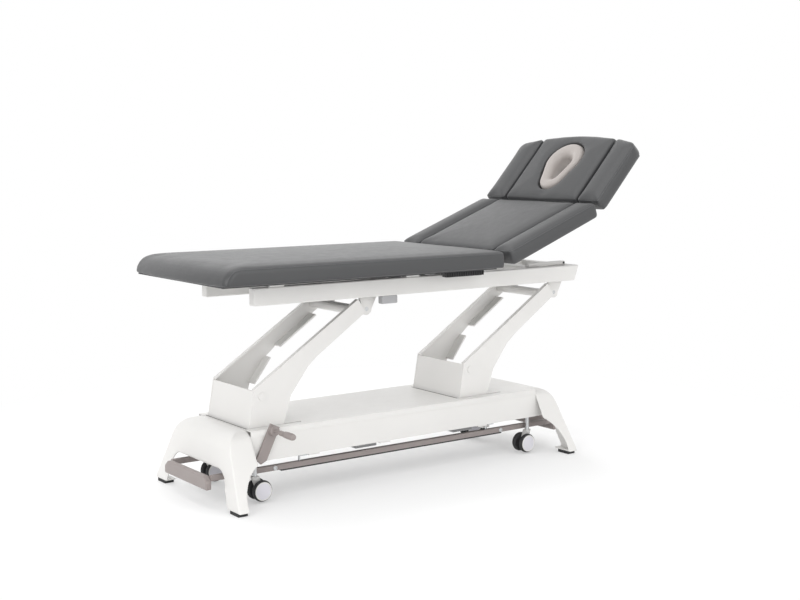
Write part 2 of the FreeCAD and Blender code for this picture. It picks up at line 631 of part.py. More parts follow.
def arm_tubes(end, x):
    """The hub tube on the base shaft, the upper tube and the lugs that reach the clevis pin."""
    half = s.arm_half_width - s.arm_plate
    hub = cut("HubTube" + end,
              solid_rod("HubOuter" + end, "hub_radius - arm_plate", "arm_half_width * 2",
                        (x, -s.arm_half_width, s.pivot_z), Y_AXIS),
              solid_rod("HubInner" + end, "shaft_radius + pin_clearance", "arm_half_width * 2",
                        (x, -s.arm_half_width, s.pivot_z), Y_AXIS))
    run, length = arm_axis()
    along = vector(run.x / length, 0, run.z / length)
    down = vector(along.z, 0, -along.x)
    middle = vector(x + s.arm_reach_x, 0, s.pivot_z + s.arm_reach_z) - along * s.arm_tube_back
    middle = middle + down * (s.arm_depth / 2)
    tube = solid_rod("UpperTube" + end, "arm_tube_radius", "(arm_half_width - arm_plate) * 2",
                     (middle.x, -half, middle.z), Y_AXIS)
    pin = vector(x + s.upper_x, 0, s.pivot_z + s.upper_z)
    lugs = []
    for side, sign in sides.items():
        y = sign * (s.arm_half_width - s.flange_width - s.lug_gap * 2 - s.clevis_thickness)
        lugs.append(arm_lug(end + side, middle, pin, y, sign))
    reach = fused("UpperTubeAndLugs" + end, [tube] + lugs)
    bore = solid_rod("LugBoreRod" + end, "pin_radius + pin_clearance", "arm_half_width * 2",
                     (pin.x, -s.arm_half_width, pin.z), Y_AXIS)
    keep(end + "_arm_tubes", grouped(end + "_arm_tubes", [hub, cut("LugBore" + end, reach, bore)]))


def arm_lug(name, start, pin, y, sign):
    """A bar with round ends from the upper tube to the clevis pin."""
    run = pin - start
    length = run.Length
    r = s.arm_tube_radius
    k = r * math.sqrt(0.5)
    edges = [
        line(vector(0, 0, r), vector(length, 0, r)),
        arc(vector(length, 0, r), vector(length + k, 0, k), vector(length + r, 0, 0)),
        arc(vector(length + r, 0, 0), vector(length + k, 0, -k), vector(length, 0, -r)),
        line(vector(length, 0, -r), vector(0, 0, -r)),
        line(vector(0, 0, -r), vector(0, 0, r)),
    ]
    item = feature("ArmLug" + name, Part.Face(Part.Wire(edges)).extrude(vector(0, -sign * s.lug_plate, 0)))
    turn = FreeCAD.Rotation(Y_AXIS, -math.degrees(math.atan2(run.z, run.x)))
    item.Placement = FreeCAD.Placement(vector(start.x, y, start.z), turn)
    return item


def drive_pin(end, x):
    """The pin across the tower with a cap on each side."""
    center = vector(x + s.drive_pin_x, 0, s.pivot_z + s.drive_pin_z)
    caps = [solid_rod("DrivePin" + end, "drive_pin_radius", "arm_half_width * 2",
                      (center.x, -s.arm_half_width, center.z), Y_AXIS)]
    for side, sign in sides.items():
        y = -s.arm_half_width - s.pin_head if sign < 0 else s.arm_half_width
        caps.append(solid_rod("DriveCap" + end + side, "drive_pin_radius + pin_head", "pin_head",
                              (center.x, y, center.z), Y_AXIS))
    return caps


def base_frame():
    """Side beams, end beams and straps that butt together, bearing blocks and the two arm shafts."""
    inner = s.arm_half_width + s.pin_head + s.run_clearance
    outer = s.cover_half_width - s.sheet_wall
    across = "cover_half_width - sheet_wall - arm_half_width - pin_head - run_clearance"
    beams = []
    length = "(castor_x - guide_size / 2) * 2"
    for side, sign in sides.items():
        y = -outer if sign < 0 else inner
        beams.append(solid_box("SideBeam" + side, (length, across, "beam_height"),
                               (-s.castor_x + s.guide_size / 2, y, s.cover_bottom)))
    for end, sign in ends.items():
        x = sign * (s.castor_x - s.guide_size / 2) - (s.beam_width if sign > 0 else 0)
        sizes = ("beam_width", "(arm_half_width + pin_head + run_clearance) * 2", "beam_height")
        beams.append(solid_box("EndBeam" + end, sizes, (x, -inner, s.cover_bottom)))
    for index, x in enumerate(strap_places()):
        beams.append(solid_box("Strap%d" % index, (
            "strap_width", "(cover_half_width - sheet_wall) * 2", "strap_height"),
            (x, -outer, s.cover_bottom - s.strap_height)))
    keep("base_chassis", grouped("base_chassis", beams))
    blocks = []
    shafts = []
    for end, x in pivots.items():
        for side, sign in sides.items():
            y = -outer if sign < 0 else inner
            block = solid_box("BearingBlank" + end + side, ("bearing_width", across, "bearing_height"),
                              (x - s.bearing_width / 2, y, s.cover_bottom + s.beam_height))
            bore = solid_rod("BearingBore" + end + side, "shaft_radius", across, (x, y, s.pivot_z), Y_AXIS)
            blocks.append(cut("Bearing" + end + side, block, bore))
        shafts.append(solid_rod("ArmShaft" + end, "shaft_radius", "(cover_half_width - sheet_wall) * 2",
                                (x, -outer, s.pivot_z), Y_AXIS))
    keep("bearing_blocks", grouped("bearing_blocks", blocks))
    keep("arm_shafts", grouped("arm_shafts", shafts))


def actuator_start():
    return s.pivot_x + s.actuator_ahead


def strap_places():
    """Where flat straps cross under the beams: below the actuator tube, its motor and the power box."""
    start = actuator_start()
    return (start + s.strap_width, start + s.actuator_length + s.strap_width / 2,
            s.hanger_x - s.box_length + s.strap_width / 2)


def slot_box(name, x0, x1, y0, y1):
    slot = doc.addObject("Part::Box", name)
    slot.Length = x1 - x0
    slot.Width = y1 - y0
    bind(slot, "Height", "sheet_wall + overrun * 2")
    slot.Placement.Base = vector(x0, y0, cover_top - s.sheet_wall - s.overrun)
    return slot


def arm_slots(end, x):
    """Three narrow slots: along the tower front and along each side plate's swing."""
    out = s.arm_half_width + s.slot_clearance / 2
    inside = s.arm_half_width - s.arm_plate - s.slot_clearance / 2
    turn = math.radians(s.drop_angle)
    level = cover_top - s.pivot_z
    start = x + s.tower_front_low - s.run_clearance
    finish = x + s.heel_x * math.cos(turn) + level / math.tan(turn)
    front = slot_box("FrontSlot" + end, start, x + s.tower_front_top + s.slot_clearance, -out, out)
    near = slot_box("NearSlot" + end, start, finish, -out, -inside)
    far = slot_box("FarSlot" + end, start, finish, inside, out)
    return [front, near, far]


def base_cover():
    """Folded cover: a slotted top sheet and two side sheets."""
    half = s.cover_half_width
    top = solid_box("CoverSheet", ("cover_length", "cover_half_width * 2", "sheet_wall"),
                    (-s.cover_length / 2, -half, cover_top - s.sheet_wall))
    slots = [slot for end, x in pivots.items() for slot in arm_slots(end, x)]
    keep("cover_top", cut("cover_top", top, fused("CoverSlots", slots)))
    panels = {}
    for side, sign in sides.items():
        y = -half if sign < 0 else half - s.sheet_wall
        sizes = ("cover_length", "sheet_wall", "cover_height - sheet_wall")
        panels[side] = solid_box("SidePanel" + side, sizes, (-s.cover_length / 2, y, s.cover_bottom))
    hole = solid_rod("LeverShaftHole", "lever_shaft_radius + run_clearance", "sheet_wall",
                     (s.lever_pivot_x, -half, s.lever_pivot_z), Y_AXIS)
    keep("side_panel_near", cut("side_panel_near", panels["near"], hole))
    keep("side_panel_far", panels["far"])


def shell_slope(crown, corner, toe, inset):
    """A round corner beside the flat crown and a straight slope to the toe, as distances out and heights."""
    center_z = cover_top - corner
    out = toe - crown
    down = s.foot_height - center_z
    turn = math.atan2(down, out) + math.acos(corner / math.hypot(out, down))
    radius = corner - inset
    points = []
    for angle in (math.pi / 2, (turn + math.pi / 2) / 2, turn):
        points.append((crown + radius * math.cos(angle), center_z + radius * math.sin(angle)))
    reach, height = points[-1]
    low = s.foot_height + inset
    points.append((reach + (height - low) * math.tan(turn), low))
    return points


def shell_front(inset):
    """Outline seen from the end: round shoulders that flare into two legs; the outer one has an arch."""
    slope = shell_slope(s.shell_crown_half_width, s.shell_shoulder, s.base_width / 2, inset)
    crown, bend, touch, toe = [vector(0, out, up) for out, up in slope]
    arch = [] if inset else arch_edges(toe)
    ends_at = toe if inset else arch_crest()
    edges = [arc(crown, bend, touch), line(touch, toe)] + arch
    edges = edges + [edge.mirror(FreeCAD.Vector(), Y_AXIS) for edge in edges]
    for end in (crown, ends_at):
        edges.append(line(end, vector(0, -end.y, end.z)))
    return Part.Face(Part.Wire(Part.__sortEdges__(edges)))


def arch_crest():
    return vector(0, s.arch_half_width - s.arch_lean - s.arch_radius, s.arch_height)


def arch_edges(toe):
    """One half of the arch between the legs, from a leg's toe to the crest."""
    spring = vector(0, s.arch_half_width - s.arch_lean, s.arch_height - s.arch_radius)
    k = s.arch_radius * (1 - math.sqrt(0.5))
    foot = vector(0, s.arch_half_width, s.foot_height)
    return [
        line(toe, foot),
        line(foot, spring),
        arc(spring, vector(0, spring.y - k, s.arch_height - k), arch_crest()),
    ]


def shell_side(inset):
    """Outline seen from the side: a round shoulder, a slope out to the foot and a bowed inner edge."""
    seam = s.cover_length / 2
    slope = shell_slope(seam + s.shell_lip, s.shell_round, s.base_length / 2, inset)
    crown, bend, touch, toe = [vector(out, 0, up) for out, up in slope]
    opening = s.overrun + s.shell_leg_depth if inset else 0
    start = vector(seam - opening, 0, crown.z)
    leg = vector(s.base_length / 2 - s.shell_leg_depth - opening, 0, toe.z)
    hip = vector(seam - opening, 0, s.cover_bottom)
    chord = leg - hip
    middle = (leg + hip) * 0.5 + vector(-chord.z, 0, chord.x) * (s.shell_hip_bow / chord.Length)
    edges = [
        line(start, crown),
        arc(crown, bend, touch),
        line(touch, toe),
        line(toe, leg),
        arc(leg, middle, hip),
        line(hip, start),
    ]
    return Part.Face(Part.Wire(edges))


def shell_form(inset):
    wide = s.base_width
    body = shell_side(inset)
    body.translate(vector(0, -wide, 0))
    body = body.extrude(vector(0, wide * 2, 0))
    return shell_front(inset).extrude(vector(s.base_length, 0, 0)).common(body)


def end_shells():
    """Moulded end shells, hollow and open towards the cover."""
    skin = shell_form(0.0).cut(shell_form(s.shell_wall))
    for end, sign in ends.items():
        item = keep(end + "_end_shell", feature(end + "_end_shell", skin))
        item.Placement = FreeCAD.Placement(FreeCAD.Vector(), FreeCAD.Rotation(Z_AXIS, 0 if sign > 0 else 180))
    feet = []
    for end, along in ends.items():
        for side, across in sides.items():
            x = along * (s.base_length / 2 - s.shell_leg_depth / 2) - s.foot_length / 2
            y = across * (s.base_width / 2 + s.arch_half_width) / 2 - s.foot_width / 2
            sizes = ("foot_length", "foot_width", "foot_height")
            feet.append(solid_box("Foot" + end + side, sizes, (x, y, 0)))
    keep("rubber_feet", grouped("rubber_feet", feet))


def castor_places():
    for end, along in ends.items():
        for side, across in sides.items():
            yield end + "_" + side, along * s.castor_x, across * s.castor_y, along


def castors():
    """Guides on the base; for each castor a sliding stem, a swivel fork and a twin wheel."""
    guides = []
    center_z = s.wheel_lift + s.wheel_radius
    for name, x, y, along in castor_places():
        block = solid_box("GuideBlock" + name, ("guide_size", "guide_size", "guide_height"),
                          (x - s.guide_size / 2, y - s.guide_size / 2, s.cover_bottom))
        bore = solid_rod("GuideBore" + name, "stem_radius + pin_clearance", "guide_height",
                         (x, y, s.cover_bottom), Z_AXIS)
        guides.append(cut("Guide" + name, block, bore))
        stem = solid_rod("castor_stem_" + name, "stem_radius", "cover_bottom + guide_height - fork_top",
                         (x, y, s.fork_top), Z_AXIS)
        keep("castor_stem_" + name, stem)
        castor_fork(name, x, y, -along, center_z)
        castor_wheel(name, x - along * s.castor_trail, y, center_z)
    keep("castor_guides", grouped("castor_guides", guides))


def castor_fork(name, x, y, lean, center_z):
    """A crown under the stem and a web between the wheels down to the axle."""
    web = s.wheel_gap - s.run_clearance * 2
    r = s.fork_tip_radius
    crown = solid_rod("ForkCrown" + name, "fork_crown_radius",
                      "fork_top - wheel_lift - wheel_radius * 2 - run_clearance",
                      (x, y, center_z + s.wheel_radius + s.run_clearance), Z_AXIS)
    tip = vector(lean * s.castor_trail, 0, center_z - s.fork_top)
    edges = [
        line(vector(-s.fork_crown_radius, 0, 0), vector(s.fork_crown_radius, 0, 0)),
        line(vector(s.fork_crown_radius, 0, 0), tip + vector(r, 0, 0)),
        arc(tip + vector(r, 0, 0), tip + vector(0, 0, -r), tip + vector(-r, 0, 0)),
        line(tip + vector(-r, 0, 0), vector(-s.fork_crown_radius, 0, 0)),
    ]
    plate = feature("ForkWeb" + name, Part.Face(Part.Wire(edges)).extrude(vector(0, web, 0)))
    plate.Placement.Base = vector(x, y - web / 2, s.fork_top)
    axle = solid_rod("ForkAxle" + name, "axle_radius", "wheel_gap + wheel_width",
                     (x + lean * s.castor_trail, y - (s.wheel_gap + s.wheel_width) / 2, center_z), Y_AXIS)
    keep("castor_fork_" + name, fused("castor_fork_" + name, [crown, plate, axle]))


def castor_wheel(name, x, y, center_z):
    """Two tyred wheels with rounded treads on one axle."""
    r, width, hub = s.wheel_radius, s.wheel_width, s.axle_radius + s.pin_clearance
    tread = s.tread_round
    rings = []
    for side, sign in sides.items():
        y0 = s.wheel_gap / 2
        y1 = y0 + width
        edges = [
            line(vector(0, y0, hub), vector(0, y0, r - tread)),
            arc(vector(0, y0, r - tread), vector(0, (y0 + y1) / 2, r), vector(0, y1, r - tread)),
            line(vector(0, y1, r - tread), vector(0, y1, hub)),
            line(vector(0, y1, hub), vector(0, y0, hub)),
        ]
        ring = Part.Face(Part.Wire(edges)).revolve(vector(0, 0, 0), Y_AXIS, 360)
        if sign < 0:
            ring.rotate(vector(0, 0, 0), Z_AXIS, 180)
        item = feature("WheelRing" + name + side, ring)
        item.Placement.Base = vector(x, y, center_z)
        rings.append(item)
    keep("castor_wheels_" + name, grouped("castor_wheels_" + name, rings))


def foot_bar():
    """The loop that works the lift from any side: two side bars, two end pedals, and hangers."""
    inner = s.bar_half_width - s.bar_thickness
    reach = s.pedal_reach - s.pedal_thickness
    bars = []
    pedals = []
    for side, sign in sides.items():
        y = -s.bar_half_width if sign < 0 else inner
        sizes = ("(pedal_reach - pedal_thickness) * 2", "bar_thickness", "bar_height")
        bar = solid_box("BarSide" + side, sizes, (-reach, y, s.bar_bottom))
        sizes = ("hanger_x * 2 + pedal_half_width", "bar_thickness", "strip_height")
        strip = solid_box("BarStrip" + side, sizes,
                          (-s.hanger_x - s.pedal_half_width / 2, y, s.bar_bottom - s.strip_height))
        holes = []
        for end, along in ends.items():
            holes.append(solid_rod("BarHole" + side + end, "hanger_radius + hanger_clearance",
                                   "bar_height + strip_height", (along * s.hanger_x, y + s.bar_thickness / 2,
                                                                 s.bar_bottom - s.strip_height), Z_AXIS))
        whole = fused("BarFused" + side, [bar, strip])
        bars.append(cut("BarBored" + side, whole, fused("BarHoles" + side, holes)))
    keep("foot_bars", grouped("foot_bars", bars))
    for end, along in ends.items():
        x = reach if along > 0 else -s.pedal_reach
        outline = [("-pedal_half_width", "0"), ("-pedal_half_width", "pedal_height - pedal_corner"),
                   ("-pedal_half_width + pedal_thickness", "pedal_height"),
                   ("pedal_half_width - pedal_thickness", "pedal_height"),
                   ("pedal_half_width", "pedal_height - pedal_corner"), ("pedal_half_width", "0")]
        item = padded_outline("Pedal" + end, outline, "pedal_thickness", "YZ_Plane")
        item.Placement.Base = vector(x, 0, s.bar_bottom + s.bar_height - s.pedal_height)
        pedals.append(item)
    keep("end_pedals", grouped("end_pedals", pedals))
    bar_hangers()


def bar_hangers():
    """Round guide rods from the base beams through the foot bar."""
    rods = []
    for end, along in ends.items():
        for side, sign in sides.items():
            y = sign * (s.bar_half_width - s.bar_thickness / 2)
            arm = solid_box("HangerFoot" + end + side, (
                "beam_width", "bar_thickness + beam_width", "hanger_radius * 2"),
                (along * s.hanger_x - s.beam_width / 2,
                 -s.bar_half_width - s.beam_width if sign < 0 else s.bar_half_width - s.bar_thickness,
                 s.cover_bottom - s.hanger_radius * 2))
            rod = solid_rod("HangerRod" + end + side, "hanger_radius",
                            "cover_bottom - bar_bottom + strip_height",
                            (along * s.hanger_x, y, s.bar_bottom - s.strip_height), Z_AXIS)
            rods.append(fused("Hanger" + end + side, [arm, rod]))
    keep("bar_hangers", grouped("bar_hangers", rods))


def castor_lever():
    """The lever on the near side that lowers the castors, its shaft and its peg."""
    y_out = -s.cover_half_width - s.lever_gap
    pivot = vector(s.lever_pivot_x, y_out, s.lever_pivot_z)
    half = "lever_width / 2"
    outline = [("-" + half, "-lever_tail_cut"), ("lever_tail_x", "-lever_tail"), (half, "-lever_tail_rise"),
               (half, "lever_reach"), ("-" + half, "lever_reach")]
    body = padded_outline("LeverPlate", outline, "lever_plate")
    turn = FreeCAD.Rotation(Y_AXIS, s.lever_angle)
    body.Placement = FreeCAD.Placement(pivot, turn)
    bore = solid_rod("LeverBore", "lever_shaft_radius + pin_clearance", "lever_plate",
                     (pivot.x, pivot.y - s.lever_plate, pivot.z), Y_AXIS)
    keep("lever_shaft", solid_rod("lever_shaft", "lever_shaft_radius",
                                  "lever_gap + lever_plate + sheet_wall",
                                  (pivot.x, pivot.y - s.lever_plate, pivot.z), Y_AXIS))
    top = pivot + turn.multVec(vector(0, -s.lever_plate, s.lever_reach - s.peg_inset))
    rod = solid_rod("PegRod", "peg_radius", "peg_length", (top.x, top.y - s.peg_length, top.z), Y_AXIS)
    grip = solid_rod("PegGrip", "peg_grip_radius", "peg_length / 2",
                     (top.x, top.y - s.peg_length, top.z), Y_AXIS)
    cap = solid_rod("PegCap", "lever_width / 2", "lever_cap", (top.x, top.y - s.lever_cap, top.z), Y_AXIS)
    keep("castor_lever", fused("castor_lever", [cut("LeverBored", body, bore), rod, grip, cap]))


def drives():
    """Lift actuator between the beams and the two control boxes under the straps."""
    reach = s.actuator_length
    x = actuator_start()
    motor = solid_box("ActuatorMotor", ("motor_length", "motor_half_width * 2", "actuator_radius * 2"),
                      (x + reach, -s.motor_half_width, s.cover_bottom))
    tube = solid_rod("ActuatorTube", "actuator_radius", "actuator_length",
                     (x, 0, s.cover_bottom + s.actuator_radius), X_AXIS)
    keep("lift_actuator", fused("lift_actuator", [motor, tube]))
    boxes = [solid_box("ControlBox", ("box_length", "box_width", "box_height"),
                       (x + reach, -s.box_width / 2, s.cover_bottom - s.strap_height - s.box_height)),
             solid_box("PowerBox", ("box_length", "box_width", "box_height"),
                       (s.hanger_x - s.box_length, -s.box_width / 2,
                        s.cover_bottom - s.strap_height - s.box_height))]
    keep("control_boxes", grouped("control_boxes", boxes))


def release_grip():
    """The ribbed grip under the near edge of the leg section that frees the back."""
    x = leg_head_x - s.grip_length - s.grip_end
    y = -s.pad_width / 2 + s.board_inset + s.grip_setback
    outline = [("0", "grip_height"), ("grip_length", "grip_height"), ("grip_length - grip_chamfer", "0"),
               ("grip_chamfer", "0")]
    item = padded_outline("release_grip", outline, "grip_depth")
    item.Placement.Base = vector(x, y + s.grip_depth, board_bottom - s.grip_height - s.soft_gap)
    keep("release_grip", item)


def section_hinges():
    """Hinge plates that stand in the gaps between the sections, with the pins that the knuckles turn on."""
    plates = []
    for side, sign in sides.items():
        y = beside(sign, s.hinge_plate_offset)
        strip = solid_box("BackHingeStrip" + side, (
            "hinge_plate_half_width * 2", "hinge_plate_thickness",
            "pad_height / 2 + board_thickness + cross_bar_height + hinge_eye_radius"),
            (-s.hinge_plate_half_width, y, rail_top - hinge_z))
        pin = hinge_pin("BackHingePin" + side, sign, s.hinge_plate_offset,
                        "hinge_plate_thickness * 2 + hinge_side_gap")
        plates.append(fused("BackHinge" + side, [strip, pin]))
    item = keep("back_hinge", grouped("back_hinge", plates))
    item.Placement.Base = back_hinge
    plates = []
    reach = "head_center_width / 2 + head_gap + board_inset + hinge_plate_thickness - head_plate_offset"
    for side, sign in sides.items():
        arm = knuckle("HeadHinge" + side, beside(sign, s.head_plate_offset), -1)
        pin = hinge_pin("HeadHingePin" + side, sign, s.head_plate_offset, reach)
        plates.append(fused("HeadHinge" + side, [arm, pin]))
    item = keep("head_hinge", grouped("head_hinge", plates))
    item.Placement = back_turn.multiply(FreeCAD.Placement(vector(back_reach, 0, 0), FreeCAD.Rotation()))


def hinge_pin(name, sign, offset, length):
    """A pin on the hinge axis, outward from a plate's inner face."""
    return solid_rod(name, "hinge_pin_radius", length, (0, sign * offset, 0), Y_AXIS * sign)


upholstery()
section_frames()
rails()
clevises()
lift_arms()
base_frame()
base_cover()
end_shells()
castors()
foot_bar()
castor_lever()
drives()
release_grip()
section_hinges()
gas_spring()
doc.recompute()

# The part stands centred over its own footprint
bounds = FreeCAD.BoundBox()
for item in finished.values():
    bounds.add(item.Shape.BoundBox)
shift = -bounds.Center.x

for item in doc.Objects:
    if "Invalid" in item.State or "Error" in item.State:
        raise RuntimeError("failed object: " + item.Label)
for label, item in finished.items():
    if item.Shape.isNull() or not item.Shape.isValid():
        raise RuntimeError("bad shape: " + label)

os.makedirs("parts", exist_ok=True)
for label, item in finished.items():
    shape = item.Shape.copy()
    shape.translate(vector(shift, 0, 0))
    shape.exportStep(os.path.join("parts", label + ".step"))

print("shift", round(shift, 3), "bounds", bounds)
print("back hinge", back_hinge, "head hinge", head_hinge)
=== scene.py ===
"""Therapy couch: cushions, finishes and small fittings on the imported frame."""
import json
import math

import bmesh
import bpy
from mathutils import Matrix, Vector
from mathutils.bvhtree import BVHTree
import numpy as np

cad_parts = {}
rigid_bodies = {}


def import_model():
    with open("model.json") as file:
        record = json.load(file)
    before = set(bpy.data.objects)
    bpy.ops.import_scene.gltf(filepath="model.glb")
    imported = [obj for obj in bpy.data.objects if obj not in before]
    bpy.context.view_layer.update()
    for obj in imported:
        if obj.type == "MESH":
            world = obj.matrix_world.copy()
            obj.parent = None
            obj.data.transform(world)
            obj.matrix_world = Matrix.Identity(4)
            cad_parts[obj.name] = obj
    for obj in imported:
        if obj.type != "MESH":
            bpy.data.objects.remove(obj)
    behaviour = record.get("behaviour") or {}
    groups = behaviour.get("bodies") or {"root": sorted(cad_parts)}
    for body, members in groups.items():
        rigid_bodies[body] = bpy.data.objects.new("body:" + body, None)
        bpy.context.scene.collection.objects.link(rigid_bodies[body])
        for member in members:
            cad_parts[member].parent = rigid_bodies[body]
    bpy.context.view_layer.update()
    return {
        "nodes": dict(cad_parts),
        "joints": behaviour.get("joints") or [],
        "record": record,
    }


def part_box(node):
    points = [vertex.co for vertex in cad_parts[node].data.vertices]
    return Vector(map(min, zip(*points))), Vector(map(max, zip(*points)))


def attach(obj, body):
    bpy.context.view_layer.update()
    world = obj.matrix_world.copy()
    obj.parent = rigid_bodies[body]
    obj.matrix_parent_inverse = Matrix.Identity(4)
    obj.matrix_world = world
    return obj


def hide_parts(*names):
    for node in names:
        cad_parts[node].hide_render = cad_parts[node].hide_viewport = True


for leftover in list(bpy.data.objects):
    bpy.data.objects.remove(leftover)
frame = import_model()
nodes = frame["nodes"]
scene = bpy.context.scene
joint_at = {joint["name"]: Vector(joint["pos_m"]) for joint in frame["joints"] if "pos_m" in joint}

# Lengths are in metres, from the base's centre; the frame lies SHIFT further along X
ENDS = ("foot", "head")
SIDES = (("near", -1), ("far", 1))
ARM_PIVOTS = {"foot": -0.545, "head": 0.382}
BACK_ANGLE = math.radians(21.0)
HEAD_ANGLE = math.radians(47.5)
LEG_FOOT_END = -0.841
LEG_MID_HEIGHT = 0.799
SHIFT = joint_at["lift"].x - ARM_PIVOTS["foot"]
LEG_FRAME = Matrix.Translation((LEG_FOOT_END + SHIFT, 0.0, LEG_MID_HEIGHT))
BACK_FRAME = Matrix.Translation(joint_at["back_tilt"]) @ Matrix.Rotation(-BACK_ANGLE, 4, "Y")
HEAD_FRAME = Matrix.Translation(joint_at["head_tilt"]) @ Matrix.Rotation(-HEAD_ANGLE, 4, "Y")


# Materials
TEXTURE_RANGE = (0.3, 0.7)
NEAR_BLACK = (0.025, 0.025, 0.027)
TAUPE = (0.30, 0.262, 0.252)
BAR_STRIP_TOP = 0.0935


def map_range(tree, source, source_range, target_range):
    """A node that carries one range of values over to another."""
    made = tree.nodes.new("ShaderNodeMapRange")
    made.inputs["From Min"].default_value = source_range[0]
    made.inputs["From Max"].default_value = source_range[1]
    made.inputs["To Min"].default_value = target_range[0]
    made.inputs["To Max"].default_value = target_range[1]
    tree.links.new(source, made.inputs["Value"])
    return made


class Finish:
    """A node material built on one Principled shader."""

    def __init__(self, name, color, roughness, metallic=0.0):
        self.material = bpy.data.materials.new(name)
        self.material.use_nodes = True
        self.tree = self.material.node_tree
        self.shader = self.tree.nodes["Principled BSDF"]
        self.shader.inputs["Base Color"].default_value = (*color, 1.0)
        self.shader.inputs["Roughness"].default_value = roughness
        self.shader.inputs["Metallic"].default_value = metallic
        self.color = color
        self.coords = self.tree.nodes.new("ShaderNodeTexCoord")

    def node(self, kind, **values):
        made = self.tree.nodes.new(kind)
        for key, value in values.items():
            setattr(made, key, value)
        return made

    def link(self, source, target):
        self.tree.links.new(source, target)

    def noise(self, scale, detail=2.0, stretch=None):
        made = self.node("ShaderNodeTexNoise")
        made.inputs["Scale"].default_value = scale
        made.inputs["Detail"].default_value = detail
        where = self.coords.outputs["Object"]
        if stretch:
            mapping = self.node("ShaderNodeMapping")
            mapping.inputs["Scale"].default_value = stretch
            self.link(where, mapping.inputs["Vector"])
            where = mapping.outputs["Vector"]
        self.link(where, made.inputs["Vector"])
        return made.outputs["Fac"]

    def cells(self, scale):
        made = self.node("ShaderNodeTexVoronoi")
        made.inputs["Scale"].default_value = scale
        self.link(self.coords.outputs["Object"], made.inputs["Vector"])
        return made.outputs["Distance"]

    def spread(self, source, low, high):
        """The middle of a texture's range, carried over to low and high."""
        return map_range(self.tree, source, TEXTURE_RANGE, (low, high)).outputs["Result"]

    def roughen(self, source, low, high):
        self.link(self.spread(source, low, high), self.shader.inputs["Roughness"])

    def tint(self, source, shade):
        """Colour varies from the base colour to a shade of it."""
        mix = self.node("ShaderNodeMix", data_type="RGBA")
        mix.inputs["A"].default_value = (*self.color, 1.0)
        mix.inputs["B"].default_value = (*[channel * shade for channel in self.color], 1.0)
        self.link(self.spread(source, 0.0, 1.0), mix.inputs["Factor"])
        self.link(mix.outputs["Result"], self.shader.inputs["Base Color"])

    def second_color(self, mask, color):
        """Where mask is 1 the tinted surface takes a second colour."""
        tinted = self.shader.inputs["Base Color"].links[0].from_socket
        mix = self.node("ShaderNodeMix", data_type="RGBA")
        self.link(tinted, mix.inputs["A"])
        mix.inputs["B"].default_value = (*color, 1.0)
        self.link(mask, mix.inputs["Factor"])
        self.link(mix.outputs["Result"], self.shader.inputs["Base Color"])

    def relief(self, sources, strength, distance):
        """Adds one bump after another."""
        normal = None
        for source in sources:
            bump = self.node("ShaderNodeBump")
            bump.inputs["Strength"].default_value = strength
            bump.inputs["Distance"].default_value = distance
            self.link(source, bump.inputs["Height"])
            if normal:
                self.link(normal, bump.inputs["Normal"])
            normal = bump.outputs["Normal"]
        self.link(normal, self.shader.inputs["Normal"])


def vinyl(name, color, shade=0.95):
    """Upholstery vinyl: pebbled grain, faint cloudiness and a satin sheen."""
    made = Finish(name, color, roughness=0.45)
    made.tint(made.noise(scale=7.0, detail=3.0), shade)
    made.roughen(made.noise(scale=35.0), low=0.37, high=0.42)
    grain = [made.cells(scale=620.0), made.noise(scale=260.0, detail=3.0)]
    made.relief(grain, strength=0.14, distance=0.0007)
    made.shader.inputs["Specular IOR Level"].default_value = 0.55
    made.shader.inputs["Sheen Weight"].default_value = 0.08
    return made.material


def paint(name, color, rough=(0.30, 0.40)):
    """Sprayed paint or moulded plastic: a fine orange peel and slight unevenness."""
    made = Finish(name, color, rough[0])
    made.tint(made.noise(scale=3.0, detail=3.0), shade=0.955)
    made.roughen(made.noise(scale=22.0), *rough)
    made.relief([made.noise(scale=420.0)], strength=0.05, distance=0.0004)
    return made.material


def steel(name, color=(0.60, 0.61, 0.62)):
    """Turned steel with fine lines along the part."""
    made = Finish(name, color, roughness=0.28, metallic=1.0)
    made.roughen(made.noise(scale=60.0, stretch=(1.0, 40.0, 40.0)), low=0.22, high=0.36)
    made.relief([made.noise(scale=300.0, stretch=(1.0, 12.0, 12.0))], strength=0.06, distance=0.0003)
    return made.material


def rubber(name, color=(0.028, 0.028, 0.03), rough=(0.55, 0.75)):
    """Dull rubber or grained black plastic."""
    made = Finish(name, color, rough[0])
    made.tint(made.noise(scale=18.0, detail=3.0), shade=0.7)
    made.roughen(made.noise(scale=60.0), *rough)
    made.relief([made.noise(scale=700.0)], strength=0.12, distance=0.0004)
    return made.material


def bar_paint(name, color):
    """Bar paint with a black strip along the underside."""
    made = Finish(name, color, roughness=0.38)
    made.tint(made.noise(scale=5.0, detail=3.0), shade=0.92)
    made.roughen(made.noise(scale=30.0), low=0.34, high=0.46)
    made.relief([made.noise(scale=420.0)], strength=0.05, distance=0.0004)
    split = made.node("ShaderNodeSeparateXYZ")
    made.link(made.coords.outputs["Object"], split.inputs["Vector"])
    below = made.node("ShaderNodeMath", operation="LESS_THAN")
    below.inputs[1].default_value = BAR_STRIP_TOP
    made.link(split.outputs["Z"], below.inputs[0])
    made.second_color(below.outputs["Value"], NEAR_BLACK)
    return made.material


